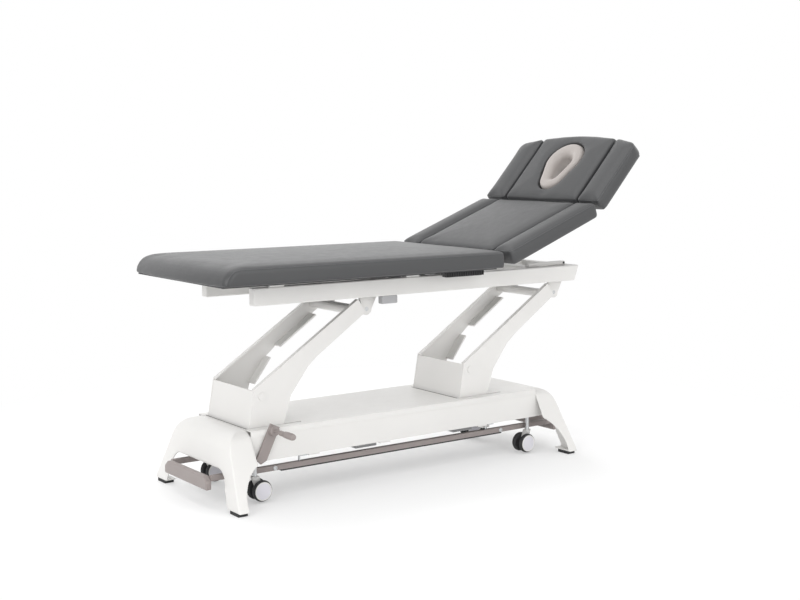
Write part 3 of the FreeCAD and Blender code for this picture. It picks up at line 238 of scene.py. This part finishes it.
GREY_VINYL = vinyl("grey_vinyl", (0.048, 0.049, 0.051))
# Seam beads are lighter than the cover vinyl: a painted highlight along each seam.
SEAM_HIGHLIGHT_VINYL = vinyl("seam_highlight_vinyl", (0.085, 0.087, 0.090))
FACE_VINYL = vinyl("face_vinyl", (0.40, 0.365, 0.345), shade=0.92)
WHITE_PAINT = paint("white_paint", (0.75, 0.74, 0.722))
WHITE_SHELL = paint("white_shell", (0.755, 0.745, 0.727), (0.30, 0.36))
HUB_PLASTIC = paint("hub_plastic", (0.70, 0.69, 0.74))
TRAY_PAINT = paint("tray_paint", (0.05, 0.05, 0.053), (0.5, 0.62))
TAUPE_PAINT = paint("taupe_paint", TAUPE, (0.34, 0.46))
BAR_PAINT = bar_paint("bar_paint", TAUPE)
GREY_PLASTIC = paint("grey_plastic", (0.42, 0.42, 0.43), (0.45, 0.58))
CASTOR_GREY = paint("castor_grey", (0.58, 0.575, 0.565), (0.32, 0.42))
BLACK_PLASTIC = rubber("black_plastic", (0.024, 0.024, 0.026), (0.42, 0.58))
TYRE = rubber("tyre_rubber")
FOOT_RUBBER = rubber("foot_rubber", (0.02, 0.02, 0.021))
STEEL = steel("turned_steel")
BLACK_STEEL = paint("black_steel", (0.02, 0.02, 0.021), (0.28, 0.4))

SLOT_FINISH = {
    "upholstery": GREY_VINYL, "face_upholstery": FACE_VINYL, "tray_paint": TRAY_PAINT,
    "frame_paint": WHITE_PAINT, "shell_plastic": WHITE_SHELL, "bright_steel": STEEL,
    "foot_rubber": FOOT_RUBBER, "castor_grey": CASTOR_GREY, "castor_tyre": TYRE,
    "lever_paint": TAUPE_PAINT, "black_plastic": BLACK_PLASTIC, "grey_plastic": GREY_PLASTIC,
    "black_steel": BLACK_STEEL,
}


# Frame pieces: finishes and softened edges
WELD_GAP = 0.00002
SHARP_ANGLE = math.radians(34.0)
SHELL_VOXEL = 0.003
SHELL_PASSES = 10


def weld_corners(item):
    weld = item.modifiers.new("weld", "WELD")
    weld.merge_threshold = WELD_GAP


def remesh(item, voxel):
    skin = item.modifiers.new("skin", "REMESH")
    skin.mode = "VOXEL"
    skin.voxel_size = voxel
    return skin


def relax(item, passes):
    smooth = item.modifiers.new("relax", "SMOOTH")
    smooth.factor = 0.5
    smooth.iterations = passes


def soften(item, width):
    """Joins split corners, rounds the sharp edges a little and evens the shading."""
    mesh = item.data
    if "custom_normal" in mesh.attributes:
        mesh.attributes.remove(mesh.attributes["custom_normal"])
    mesh.shade_smooth()
    weld_corners(item)
    bevel = item.modifiers.new("edges", "BEVEL")
    bevel.width = width
    bevel.segments = 2
    bevel.limit_method = "ANGLE"
    bevel.angle_limit = SHARP_ANGLE
    bevel.harden_normals = True
    even = item.modifiers.new("normals", "WEIGHTED_NORMAL")
    even.keep_sharp = True


def remould(item):
    """Gives a moulded shell one even skin with softly rounded edges."""
    weld_corners(item)
    remesh(item, SHELL_VOXEL).use_smooth_shade = True
    relax(item, SHELL_PASSES)


# Plain box-like pieces get a small rounded edge; the others keep the shading they came with
EDGE_WIDTH = {
    "near_rail": 0.004, "far_rail": 0.004, "end_pedals": 0.005, "foot_bars": 0.002, "rubber_feet": 0.002,
    "cross_bars": 0.002, "control_boxes": 0.003, "release_grip": 0.0015, "castor_guides": 0.0012,
}
for subpart in frame["record"]["subparts"]:
    carried = nodes[subpart["node"]]
    carried.data.materials.clear()
    carried.data.materials.append(SLOT_FINISH[subpart["material_slot"]])
    if subpart["node"] in EDGE_WIDTH:
        soften(carried, EDGE_WIDTH[subpart["node"]])
nodes["lever_shaft"].data.materials[0] = TAUPE_PAINT
nodes["foot_bars"].data.materials[0] = BAR_PAINT
for end in ENDS:
    nodes[end + "_arm_drive_pin"].data.materials[0] = WHITE_PAINT
    remould(nodes[end + "_end_shell"])


# Building blocks
TURNED_CREASE = math.radians(40.0)
BLOCK_CREASE = math.radians(50.0)
BLOCK_SEGMENTS = 3


def add_mesh(name, mesh, material, body):
    item = bpy.data.objects.new(name, mesh)
    scene.collection.objects.link(item)
    mesh.materials.append(material)
    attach(item, body)


def creased(mesh, angle):
    mesh.shade_smooth()
    mesh.set_sharp_from_angle(angle=angle)


def ring_mesh(name, rings, looped=False):
    """A closed skin over rings of equally many points: capped at both ends, or joined from last to first."""
    work = bmesh.new()
    rows = [[work.verts.new(point) for point in ring] for ring in rings]
    count = len(rows[0])
    following = rows[1:] + rows[:1] if looped else rows[1:]
    for low, high in zip(rows, following):
        for i in range(count):
            work.faces.new((low[i], low[(i + 1) % count], high[(i + 1) % count], high[i]))
    if not looped:
        work.faces.new(list(reversed(rows[0])))
        work.faces.new(rows[-1])
    bmesh.ops.recalc_face_normals(work, faces=work.faces)
    mesh = bpy.data.meshes.new(name)
    work.to_mesh(mesh)
    work.free()
    return mesh


def lathe(name, profile, place, material, body, steps=48):
    """Turns (radius, height) points about local Z."""
    turns = [2 * math.pi * i / steps for i in range(steps)]
    rings = []
    for radius, height in profile:
        rings.append([(radius * math.cos(turn), radius * math.sin(turn), height) for turn in turns])
    mesh = ring_mesh(name, rings)
    mesh.transform(place)
    creased(mesh, TURNED_CREASE)
    add_mesh(name, mesh, material, body)


def block(name, size, place, material, body, edge):
    """A box with rounded edges, centred on its place."""
    work = bmesh.new()
    bmesh.ops.create_cube(work, size=1.0)
    bmesh.ops.scale(work, vec=size, verts=work.verts)
    bmesh.ops.bevel(work, geom=work.edges[:], offset=edge, segments=BLOCK_SEGMENTS, profile=0.5,
                    affect="EDGES")
    mesh = bpy.data.meshes.new(name)
    work.to_mesh(mesh)
    work.free()
    mesh.transform(place)
    creased(mesh, BLOCK_CREASE)
    add_mesh(name, mesh, material, body)


def tube(name, points, radius, material, body, closed):
    """A smooth round bead through points."""
    curve = bpy.data.curves.new(name, "CURVE")
    curve.dimensions = "3D"
    curve.bevel_depth = radius
    curve.bevel_resolution = 2
    spline = curve.splines.new("POLY")
    spline.points.add(len(points) - 1)
    for target, point in zip(spline.points, points):
        target.co = (*point, 1.0)
    spline.use_cyclic_u = closed
    carrier = bpy.data.objects.new(name + "_path", curve)
    scene.collection.objects.link(carrier)
    bpy.context.view_layer.update()
    mesh = bpy.data.meshes.new_from_object(carrier.evaluated_get(bpy.context.evaluated_depsgraph_get()))
    bpy.data.objects.remove(carrier)
    mesh.shade_smooth()
    mesh.name = name
    add_mesh(name, mesh, material, body)


# Cushions
CLOTH_FRAMES = 20
EVEN_PASSES = 14
COVER_PASSES = 2
PAD_VOXEL = 0.006
FACE_VOXEL = 0.005
PAD_CAP = 0.004
HEAD_CAP = 0.003
FACE_CAP = 0.002
# Lowest part of a cushion that rests on its tray
HELD_HEIGHT = 0.004
# How far a cushion may grow past its plain form, along X, Y and upwards
ROAM = (0.0008, 0.0008, 0.004)


def applied(item):
    """Replaces an object's mesh by what its modifiers make of it."""
    graph = bpy.context.evaluated_depsgraph_get()
    mesh = bpy.data.meshes.new_from_object(item.evaluated_get(graph))
    item.modifiers.clear()
    old = item.data
    item.data = mesh
    bpy.data.meshes.remove(old)


def inflate(item, held, cap):
    """Swells the cover by inner pressure; points in held stay, and no point moves further than cap."""
    group = item.vertex_groups.new(name="held")
    group.add(held, 1.0, "REPLACE")
    cloth = item.modifiers.new("cloth", "CLOTH")
    settings = cloth.settings
    settings.quality = 4
    settings.mass = 0.25
    settings.tension_stiffness = 12.0
    settings.compression_stiffness = 12.0
    settings.shear_stiffness = 6.0
    settings.bending_stiffness = 0.6
    settings.use_pressure = True
    settings.uniform_pressure_force = 4.0
    settings.vertex_group_mass = "held"
    settings.effector_weights.gravity = 0.0
    cloth.collision_settings.use_collision = False
    cloth.point_cache.frame_start = 1
    cloth.point_cache.frame_end = CLOTH_FRAMES
    for step in range(1, CLOTH_FRAMES + 1):
        scene.frame_set(step)
    graph = bpy.context.evaluated_depsgraph_get()
    swollen = np.array([vertex.co for vertex in item.evaluated_get(graph).data.vertices])
    item.modifiers.clear()
    scene.frame_set(1)
    rest = np.array([vertex.co for vertex in item.data.vertices])
    moves = swollen - rest
    moves *= np.minimum(1.0, cap / np.maximum(np.linalg.norm(moves, axis=1), 1e-9))[:, None]
    ends = np.array([edge.vertices[:] for edge in item.data.edges])
    degree = np.bincount(ends.ravel(), minlength=len(rest))[:, None]
    for _ in range(EVEN_PASSES):
        total = np.zeros_like(moves)
        np.add.at(total, ends[:, 0], moves[ends[:, 1]])
        np.add.at(total, ends[:, 1], moves[ends[:, 0]])
        moves = (moves + total / degree) / 2
    item.data.vertices.foreach_set("co", (rest + moves).ravel())


def finished(mesh, node, body, place, material, cap, voxel, hollow=None):
    """Turns a plain soft form into a cushion: remeshed, swollen like cloth and kept within its space."""
    low = Vector([min(vertex.co[axis] for vertex in mesh.vertices) for axis in range(3)])
    high = Vector([max(vertex.co[axis] for vertex in mesh.vertices) for axis in range(3)])
    item = bpy.data.objects.new(node + "_cover", mesh)
    scene.collection.objects.link(item)
    if hollow:
        cutter = bpy.data.objects.new(node + "_cutter", hollow)
        scene.collection.objects.link(cutter)
        opening = item.modifiers.new("opening", "BOOLEAN")
        opening.object = cutter
        opening.solver = "EXACT"
    remesh(item, voxel)
    relax(item, COVER_PASSES)
    applied(item)
    if hollow:
        bpy.data.objects.remove(cutter)
    held = [vertex.index for vertex in item.data.vertices if vertex.co.z < low.z + HELD_HEIGHT]
    inflate(item, held, cap)
    for vertex in item.data.vertices:
        for axis in range(3):
            lowest = low.z if axis == 2 else low[axis] - ROAM[axis]
            vertex.co[axis] = min(max(vertex.co[axis], lowest), high[axis] + ROAM[axis])
    item.data.transform(place)
    item.data.materials.append(material)
    item.data.shade_smooth()
    finer = item.modifiers.new("finer", "SUBSURF")
    finer.levels = 1
    finer.render_levels = 1
    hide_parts(node)
    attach(item, body)
    return item


def pad(node, body, place, mesh, cap=PAD_CAP, hollow=None):
    """One of the grey cushions."""
    return finished(mesh, node, body, place, GREY_VINYL, cap, PAD_VOXEL, hollow)


# Height and inset of a pad's side from its underside to its top edge; the crown follows
PAD_PROFILE = (
    (-0.032, 0.0060), (-0.028, 0.0025), (-0.020, 0.0006), (-0.006, 0.0), (0.008, 0.0), (0.018, 0.0006),
    (0.0235, 0.0025), (0.0270, 0.0055), (0.0290, 0.0095), (0.0300, 0.0160),
)
PAD_HEIGHT = 0.064
CROWN_SHARES = (0.15, 0.35, 0.6, 0.85)
LEAST_CROWN = 0.002
WIDTH_CROWN = 0.009
LEAST_CORNER = 0.002
CORNER_STEPS = 8
EDGE_STEPS = 40
HALF_WIDTH = 0.34
HEAD_HALF = 0.212
BACK_MID_HALF = 0.231
BACK_SIDE_FROM = 0.234
REST_FROM = 0.219


def outline(span, width, radii, inset, bow, foot_bow):
    """Points round a pad's plan: four round corners, and ends bowed about the couch's middle line."""
    arcs = []
    for k, (end, side) in enumerate(((0, 0), (1, 0), (1, 1), (0, 1))):
        radius = max(radii[k] - inset, LEAST_CORNER)
        u = span[end] + (1 - 2 * end) * (inset + radius)
        y = width[side] + (1 - 2 * side) * (inset + radius)
        turns = [math.radians(180 + 90 * k + 90 * i / CORNER_STEPS) for i in range(CORNER_STEPS + 1)]
        arcs.append([Vector((u + radius * math.cos(turn), y + radius * math.sin(turn))) for turn in turns])
    points = []
    for arc, following in zip(arcs, arcs[1:] + arcs[:1]):
        points += arc
        points += [arc[-1].lerp(following[0], i / EDGE_STEPS) for i in range(1, EDGE_STEPS)]
    for point in points:
        share = (point.x - span[0]) / (span[1] - span[0])
        point.x += bow * max(0.0, share) * (1 - (point.y / HEAD_HALF) ** 2)
        point.x += foot_bow * max(0.0, 1 - share) * (point.y / HALF_WIDTH) ** 2
    return points


def roll_in(height, reach):
    """How far a rolled foot end stands back at a height: a quarter of an ellipse."""
    share = min(1.0, (height + PAD_HEIGHT / 2) / PAD_HEIGHT)
    return reach * (1 - math.sqrt(1 - share * share))


def pad_mesh(name, span, width, radii, bow=0.0, foot_bow=0.0, reach=0.0):
    """An upholstered pad about the middle of its height, with a crowned top."""
    half = (width[1] - width[0]) / 2
    edge_height, edge_inset = PAD_PROFILE[-1]
    rise = LEAST_CROWN + WIDTH_CROWN * half / HALF_WIDTH
    levels = list(PAD_PROFILE)
    for share in CROWN_SHARES:
        levels.append((edge_height + rise * (1 - (1 - share) ** 2), edge_inset + share * (half - edge_inset)))
    rings = []
    for height, inset in levels:
        ends = (span[0] + roll_in(height, reach), span[1])
        plan = outline(ends, width, radii, inset, bow, foot_bow)
        rings.append([(point.x, point.y, height) for point in plan])
    return ring_mesh(name, rings)


def egg(wide, narrow, wide_at, narrow_at, steps=96):
    """Points of an egg outline round two circles on one line."""
    points = []
    for i in range(steps):
        turn = 2 * math.pi * i / steps
        rounder = wide_at * math.cos(turn) + wide > narrow_at * math.cos(turn) + narrow
        radius, center = (wide, wide_at) if rounder else (narrow, narrow_at)
        points.append((center + radius * math.cos(turn), radius * math.sin(turn)))
    return points


SHARP = 0.012
ROUND = 0.034
SQUARE_CORNERS = (SHARP,) * 4

# The leg cushion's foot end is bowed and rolled over
LEG_SPAN = (-0.002, 1.2)
FOOT_REACH = 0.066
FOOT_BOW = 0.020
FOOT_CORNER = 0.024
leg_cover = pad("leg_pad", "top_frame", LEG_FRAME,
                mesh=pad_mesh("leg_cover", LEG_SPAN, (-HALF_WIDTH, HALF_WIDTH),
                              (FOOT_CORNER, SHARP, SHARP, FOOT_CORNER), foot_bow=FOOT_BOW, reach=FOOT_REACH))

BACK_SPAN = (0.015, 0.485)
BACK_WIDTHS = {
    "center": (-BACK_MID_HALF, BACK_MID_HALF),
    "near": (-HALF_WIDTH, -BACK_SIDE_FROM),
    "far": (BACK_SIDE_FROM, HALF_WIDTH),
}
back_covers = {}
for part, width in BACK_WIDTHS.items():
    back_covers[part] = pad("back_pad_" + part, "back_section", BACK_FRAME,
                            pad_mesh("back_cover_" + part, BACK_SPAN, width, SQUARE_CORNERS))

HEAD_SPAN = (0.012, 0.350)
HEAD_BOW = 0.018
OPENING_HEIGHTS = (-0.05, 0.06)
opening_ring = egg(wide=0.100, narrow=0.070, wide_at=0.222, narrow_at=0.130)
opening_mesh = ring_mesh("head_opening", [[(u, y, z) for u, y in opening_ring] for z in OPENING_HEIGHTS])
pad("head_pad", "head_section", HEAD_FRAME, cap=HEAD_CAP, hollow=opening_mesh,
    mesh=pad_mesh("head_cover", HEAD_SPAN, (-HEAD_HALF, HEAD_HALF), SQUARE_CORNERS, HEAD_BOW))

REST_WIDTHS = {"near": (-HALF_WIDTH, -REST_FROM), "far": (REST_FROM, HALF_WIDTH)}
REST_CORNERS = {"near": (SHARP, ROUND, SHARP, SHARP), "far": (SHARP, SHARP, ROUND, SHARP)}
rest_covers = {}
for side, width in REST_WIDTHS.items():
    rest_covers[side] = pad("armrest_pad_" + side, "armrest_" + side, HEAD_FRAME,
                            pad_mesh("rest_cover_" + side, HEAD_SPAN, width, REST_CORNERS[side], HEAD_BOW))

# Share of the way from the face cushion's hole to its rim, and height, once round its section
FACE_SECTION = (
    (0.06, -0.030), (0.04, -0.004), (0.06, 0.016), (0.16, 0.027), (0.32, 0.035), (0.52, 0.039),
    (0.72, 0.0385), (0.87, 0.035), (0.96, 0.028), (1.0, 0.016), (1.0, -0.010), (0.97, -0.030),
)
face_rim = egg(wide=0.094, narrow=0.064, wide_at=0.222, narrow_at=0.130)
face_hole = egg(wide=0.040, narrow=0.022, wide_at=0.206, narrow_at=0.150)
face_rings = []
for share, height in FACE_SECTION:
    face_rings.append([(a[0] + (b[0] - a[0]) * share, a[1] + (b[1] - a[1]) * share, height)
                       for a, b in zip(face_hole, face_rim)])
face_mesh = ring_mesh("face_cover", face_rings, looped=True)
finished(face_mesh, "face_cushion", "face_ring", HEAD_FRAME, FACE_VINYL, FACE_CAP,
         FACE_VOXEL)


# Seams: raised beads in a lighter vinyl, which paints a highlight along each seam
SEAM_RADIUS = 0.0011
SEAM_HEIGHT = 0.0255
SEAM_CORNER = 0.014
SEAM_SPACING = 0.012
LEG_SEAM_OUT = 0.3385
LEG_SEAM_FROM = 1.192
LEG_SEAM_TURN = 0.080
LEG_SEAM_LOW = -0.029
LEG_SEAM_STEPS = 79
FOOT_SEAM_STEPS = 24
FOOT_SEAM_BACK = FOOT_BOW + 0.004


def seam(name, item, body, place, points, closed=False):
    """A sewn seam: a thin bead laid on the cover along points of the cushion's own frame, in a lighter vinyl
    that paints the seam's highlight.
    """
    bpy.context.view_layer.update()
    tree = BVHTree.FromObject(item, bpy.context.evaluated_depsgraph_get())
    inverse = item.matrix_world.inverted()
    laid = []
    for point in points:
        found = tree.find_nearest(inverse @ (place @ Vector(point)))
        laid.append(item.matrix_world @ found[0])
    tube(name, laid, SEAM_RADIUS, SEAM_HIGHLIGHT_VINYL, body, closed)


def rim(span, half):
    """Points round a rounded rectangle at the seams' height, in order."""
    x0, x1 = span
    near, far = -half + SEAM_CORNER, half - SEAM_CORNER
    points = []
    for cx, cy, start in ((x1 - SEAM_CORNER, near, -90), (x1 - SEAM_CORNER, far, 0),
                          (x0 + SEAM_CORNER, far, 90), (x0 + SEAM_CORNER, near, 180)):
        for i in range(CORNER_STEPS + 1):
            angle = math.radians(start + 90 * i / CORNER_STEPS)
            points.append(Vector((cx + SEAM_CORNER * math.cos(angle), cy + SEAM_CORNER * math.sin(angle),
                                  SEAM_HEIGHT)))
    full = []
    for a, b in zip(points, points[1:] + points[:1]):
        count = max(1, int((b - a).length / SEAM_SPACING))
        full += [a.lerp(b, i / count) for i in range(count)]
    return full


def rim_seam(name, cover, body, place, span, width):
    """A seam round the top edge of a pad."""
    middle = (width[0] + width[1]) / 2
    loop = [(point.x, point.y + middle, point.z) for point in rim(span, (width[1] - width[0]) / 2)]
    seam(name, cover, body, place, loop, closed=True)


for side, sign in SIDES:
    out = sign * LEG_SEAM_OUT
    run = LEG_SEAM_FROM - LEG_SEAM_TURN
    edge = [(LEG_SEAM_FROM - i * run / LEG_SEAM_STEPS, out, SEAM_HEIGHT) for i in range(LEG_SEAM_STEPS + 1)]
    for i in range(1, FOOT_SEAM_STEPS + 1):
        height = SEAM_HEIGHT - (SEAM_HEIGHT - LEG_SEAM_LOW) * i / FOOT_SEAM_STEPS
        edge.append((roll_in(height, FOOT_REACH) + FOOT_SEAM_BACK, out, height))
    seam("leg_seam_" + side, leg_cover, "top_frame", LEG_FRAME, edge)
for part, label in (("center", "mid"), ("near", "near"), ("far", "far")):
    rim_seam("back_seam_" + label, back_covers[part], "back_section", BACK_FRAME, BACK_SPAN,
             BACK_WIDTHS[part])
for side, cover in rest_covers.items():
    rim_seam("rest_seam_" + side, cover, "armrest_" + side, HEAD_FRAME, HEAD_SPAN, REST_WIDTHS[side])


# Castor hub caps, as (radius, height) points
CASTORS = ("foot_near", "foot_far", "head_near", "head_far")
HUB_RING = (
    (0.0325, -0.004), (0.0325, 0.0004), (0.0315, 0.0012), (0.0290, 0.0012), (0.0282, 0.0004),
    (0.0282, -0.004),
)
HUB_CAP = ((0.0282, -0.004), (0.0282, 0.0002), (0.022, 0.0007), (0.010, 0.0011), (0.0, 0.0012))


def outward(sign):
    """Turns local Z to the near side for -1 and to the far side for 1."""
    return Matrix.Rotation(math.radians(-90 * sign), 4, "X")


for place_name in CASTORS:
    low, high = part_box("castor_wheels_" + place_name)
    center = (low + high) / 2
    for label, sign in (("inner", 1), ("outer", -1)):
        face = Vector((center.x, low.y if sign < 0 else high.y, center.z))
        stand = Matrix.Translation(face) @ outward(sign)
        lathe("hub_ring_%s_%s" % (place_name, label), HUB_RING, stand, WHITE_SHELL, "wheels_" + place_name)
        lathe("hub_cap_%s_%s" % (place_name, label), HUB_CAP, stand, HUB_PLASTIC, "wheels_" + place_name)


# Small fittings, placed from the base's centre
COVER_LIP_SIZE = (1.298, 0.0014, 0.018)
COVER_LIP_OUT = 0.1904
COVER_LIP_HEIGHT = 0.2412
BAR_SCREW = (
    (0.0085, -0.002), (0.0085, 0.0016), (0.0072, 0.0028), (0.0040, 0.0028), (0.0034, 0.0014), (0.0, 0.0014),
)
BAR_SCREW_ALONG = {"foot": -0.5327, "head": 0.502}
BAR_SCREW_OUT = 0.150
BAR_SCREW_HEIGHT = 0.1025
LEVER_PIVOT = (-0.612, 0.160)
LEVER_TILT = math.radians(26.0)
PEG_REACH = 0.099
LEVER_BOSS = ((0.0180, -0.004), (0.0180, 0.016), (0.0165, 0.019), (0.0, 0.019))
LEVER_BOSS_OUT = 0.196
LEVER_SLEEVE = (
    (0.0085, 0.0), (0.0112, 0.003), (0.0120, 0.020), (0.0120, 0.048), (0.0100, 0.056), (0.0, 0.058),
)
LEVER_SLEEVE_OUT = 0.276
GRIP_RIB = ((0.0036, -0.010), (0.0036, 0.009), (0.0026, 0.010))
GRIP_RIBS = 17
GRIP_RIB_FROM = 0.124
GRIP_RIB_PITCH = 0.011
GRIP_RIB_OUT = 0.2745
GRIP_RIB_HEIGHT = 0.751
CHEEK_SIZE = (0.034, 0.0028, 0.090)
CHEEK_ALONG = 0.667
CHEEK_OUT = 0.1885
CHEEK_HEIGHT = 0.1905
BRUSH_SIZE = (0.0016, 0.292, 0.004)
BRUSH_BEFORE_PIVOT = 0.0990
BRUSH_HEIGHT = 0.2530
HINGE_TUBE_SIZE = (0.20, 0.022, 0.015)
HINGE_TUBE_ALONG = 0.742
HINGE_TUBE_OUT = 0.137
HINGE_TUBE_HEIGHT = 0.7487
TUBE_PLUG = ((0.005, -0.001), (0.005, 0.0012), (0.004, 0.0018), (0.0, 0.0018))
TUBE_PLUG_ALONG = 0.833
TUBE_PLUG_OUT = 0.148
TUBE_PLUG_HEIGHT = 0.7495
RAIL_BOX_SIZE = (0.070, 0.026, 0.030)
RAIL_BOX_PLACE = (-0.062, -0.170, 0.6642)


def at(x, y, z):
    return Matrix.Translation((x + SHIFT, y, z))


for side, sign in SIDES:
    block("cover_lip_" + side, COVER_LIP_SIZE, at(0.0, sign * COVER_LIP_OUT, COVER_LIP_HEIGHT), WHITE_PAINT,
          "base", edge=0.0005)
    for end, along in BAR_SCREW_ALONG.items():
        lathe("bar_screw_%s_%s" % (end, side), BAR_SCREW,
              at(along, sign * BAR_SCREW_OUT, BAR_SCREW_HEIGHT) @ outward(sign), STEEL, "foot_loop",
              steps=24)

# The castor lever's boss and the sleeve at the end of its peg
peg_x = LEVER_PIVOT[0] + PEG_REACH * math.sin(LEVER_TILT)
peg_z = LEVER_PIVOT[1] + PEG_REACH * math.cos(LEVER_TILT)
lathe("lever_boss", LEVER_BOSS, at(peg_x, -LEVER_BOSS_OUT, peg_z) @ outward(-1), TAUPE_PAINT, "lever",
      steps=32)
lathe("lever_sleeve", LEVER_SLEEVE, at(peg_x, -LEVER_SLEEVE_OUT, peg_z) @ outward(-1), TAUPE_PAINT, "lever",
      steps=32)

for i in range(GRIP_RIBS):
    lathe("grip_rib_%d" % i, GRIP_RIB,
          at(GRIP_RIB_FROM + GRIP_RIB_PITCH * i, -GRIP_RIB_OUT, GRIP_RIB_HEIGHT), BLACK_PLASTIC, "release",
          steps=12)
for end, way in zip(ENDS, (-1, 1)):
    for side, sign in SIDES:
        block("cheek_%s_%s" % (end, side), CHEEK_SIZE, at(way * CHEEK_ALONG, sign * CHEEK_OUT, CHEEK_HEIGHT),
              WHITE_PAINT, "base", edge=0.0008)
for end, pivot in ARM_PIVOTS.items():
    block("slot_brush_" + end, BRUSH_SIZE, at(pivot - BRUSH_BEFORE_PIVOT, 0.0, BRUSH_HEIGHT), BLACK_PLASTIC,
          "base", edge=0.0005)
for side, sign in SIDES:
    block("hinge_tube_" + side, HINGE_TUBE_SIZE,
          at(HINGE_TUBE_ALONG, sign * HINGE_TUBE_OUT, HINGE_TUBE_HEIGHT), WHITE_PAINT, "top_frame",
          edge=0.003)
    lathe("tube_plug_" + side, TUBE_PLUG,
          at(TUBE_PLUG_ALONG, sign * TUBE_PLUG_OUT, TUBE_PLUG_HEIGHT) @ outward(sign), BLACK_PLASTIC,
          "top_frame", steps=20)
block("under_rail_box", RAIL_BOX_SIZE, at(*RAIL_BOX_PLACE), GREY_PLASTIC, "top_frame",
      edge=0.004)


# Studio
WHITE = (1.0, 1.0, 1.0, 1.0)
FLOOR_SIZE = 30.0
FLOOR_COLOR = (0.90, 0.90, 0.90, 1.0)
# The floor glows more the further it is from the couch, so that it fades into white
GLOW_DISTANCES = (0.7, 2.2)
GLOW_SHARES = (0.35, 1.0)
# Strength of the surroundings as they light the couch, and as they are seen or mirrored
SKY_LEVELS = (0.85, 1.0)


def seen_directly(tree):
    """1 for what is seen or mirrored, 0 for light on its way."""
    path = tree.nodes.new("ShaderNodeLightPath")
    either = tree.nodes.new("ShaderNodeMath")
    either.operation = "MAXIMUM"
    tree.links.new(path.outputs["Is Camera Ray"], either.inputs[0])
    tree.links.new(path.outputs["Is Glossy Ray"], either.inputs[1])
    return either.outputs["Value"]


def floor_finish():
    """A matt pale floor that fades into white."""
    material = bpy.data.materials.new("pale_floor")
    material.use_nodes = True
    tree = material.node_tree
    tree.nodes.remove(tree.nodes["Principled BSDF"])
    matt = tree.nodes.new("ShaderNodeBsdfDiffuse")
    matt.inputs["Color"].default_value = FLOOR_COLOR
    glow = tree.nodes.new("ShaderNodeEmission")
    glow.inputs["Color"].default_value = WHITE
    where = tree.nodes.new("ShaderNodeTexCoord")
    length = tree.nodes.new("ShaderNodeVectorMath")
    length.operation = "LENGTH"
    tree.links.new(where.outputs["Object"], length.inputs[0])
    fade = map_range(tree, length.outputs["Value"], GLOW_DISTANCES, GLOW_SHARES)
    fade.interpolation_type = "SMOOTHSTEP"
    amount = tree.nodes.new("ShaderNodeMath")
    amount.operation = "MULTIPLY"
    tree.links.new(fade.outputs["Result"], amount.inputs[0])
    tree.links.new(seen_directly(tree), amount.inputs[1])
    blend = tree.nodes.new("ShaderNodeMixShader")
    tree.links.new(amount.outputs["Value"], blend.inputs["Fac"])
    tree.links.new(matt.outputs["BSDF"], blend.inputs[1])
    tree.links.new(glow.outputs["Emission"], blend.inputs[2])
    tree.links.new(blend.outputs["Shader"], tree.nodes["Material Output"].inputs["Surface"])
    return material


def softbox(name, where, target, size, power, glossy=True):
    """A soft rectangular lamp that the camera doesn't see."""
    lamp = bpy.data.lights.new(name, "AREA")
    lamp.shape = "RECTANGLE"
    lamp.size = size[0]
    lamp.size_y = size[1]
    lamp.energy = power
    item = bpy.data.objects.new(name, lamp)
    scene.collection.objects.link(item)
    item.location = where
    item.rotation_euler = (Vector(target) - Vector(where)).to_track_quat("-Z", "Y").to_euler()
    item.visible_camera = False
    item.visible_glossy = glossy


floor_mesh = bpy.data.meshes.new("floor")
work = bmesh.new()
bmesh.ops.create_grid(work, x_segments=1, y_segments=1, size=FLOOR_SIZE)
work.to_mesh(floor_mesh)
work.free()
floor_mesh.materials.append(floor_finish())
floor = bpy.data.objects.new("floor", floor_mesh)
scene.collection.objects.link(floor)

world = bpy.data.worlds.new("studio")
scene.world = world
world.use_nodes = True
background = world.node_tree.nodes["Background"]
background.inputs["Color"].default_value = WHITE
level = map_range(world.node_tree, seen_directly(world.node_tree), (0.0, 1.0), SKY_LEVELS)
world.node_tree.links.new(level.outputs["Result"], background.inputs["Strength"])

softbox("overhead", where=(-0.6, -0.4, 4.2), target=(0.0, 0.0, 0.6), size=(4.0, 3.0), power=45.0)
softbox("left_fill", where=(-4.5, -2.2, 2.2), target=(0.0, 0.0, 0.5), size=(2.5, 2.5), power=60.0)
softbox("far_fill", where=(0.2, 4.8, 2.3), target=(0.0, 0.0, 0.5), size=(5.0, 2.4), power=210.0,
        glossy=False)
softbox("front_fill", where=(0.6, -4.8, 1.8), target=(0.0, 0.0, 0.5), size=(3.0, 2.0), power=40.0)

CAMERA_PLACE = (-2.7676, -3.9103, 1.2027)
CAMERA_DOWN = 6.6939
CAMERA_TURN = -36.4245
lens = bpy.data.cameras.new("camera")
lens.sensor_width = 36.0
lens.lens = 57.51
camera = bpy.data.objects.new("camera", lens)
scene.collection.objects.link(camera)
camera.location = at(*CAMERA_PLACE).to_translation()
camera.rotation_euler = (math.radians(90.0 - CAMERA_DOWN), 0.0, math.radians(CAMERA_TURN))
scene.camera = camera
scene.view_settings.view_transform = "Standard"
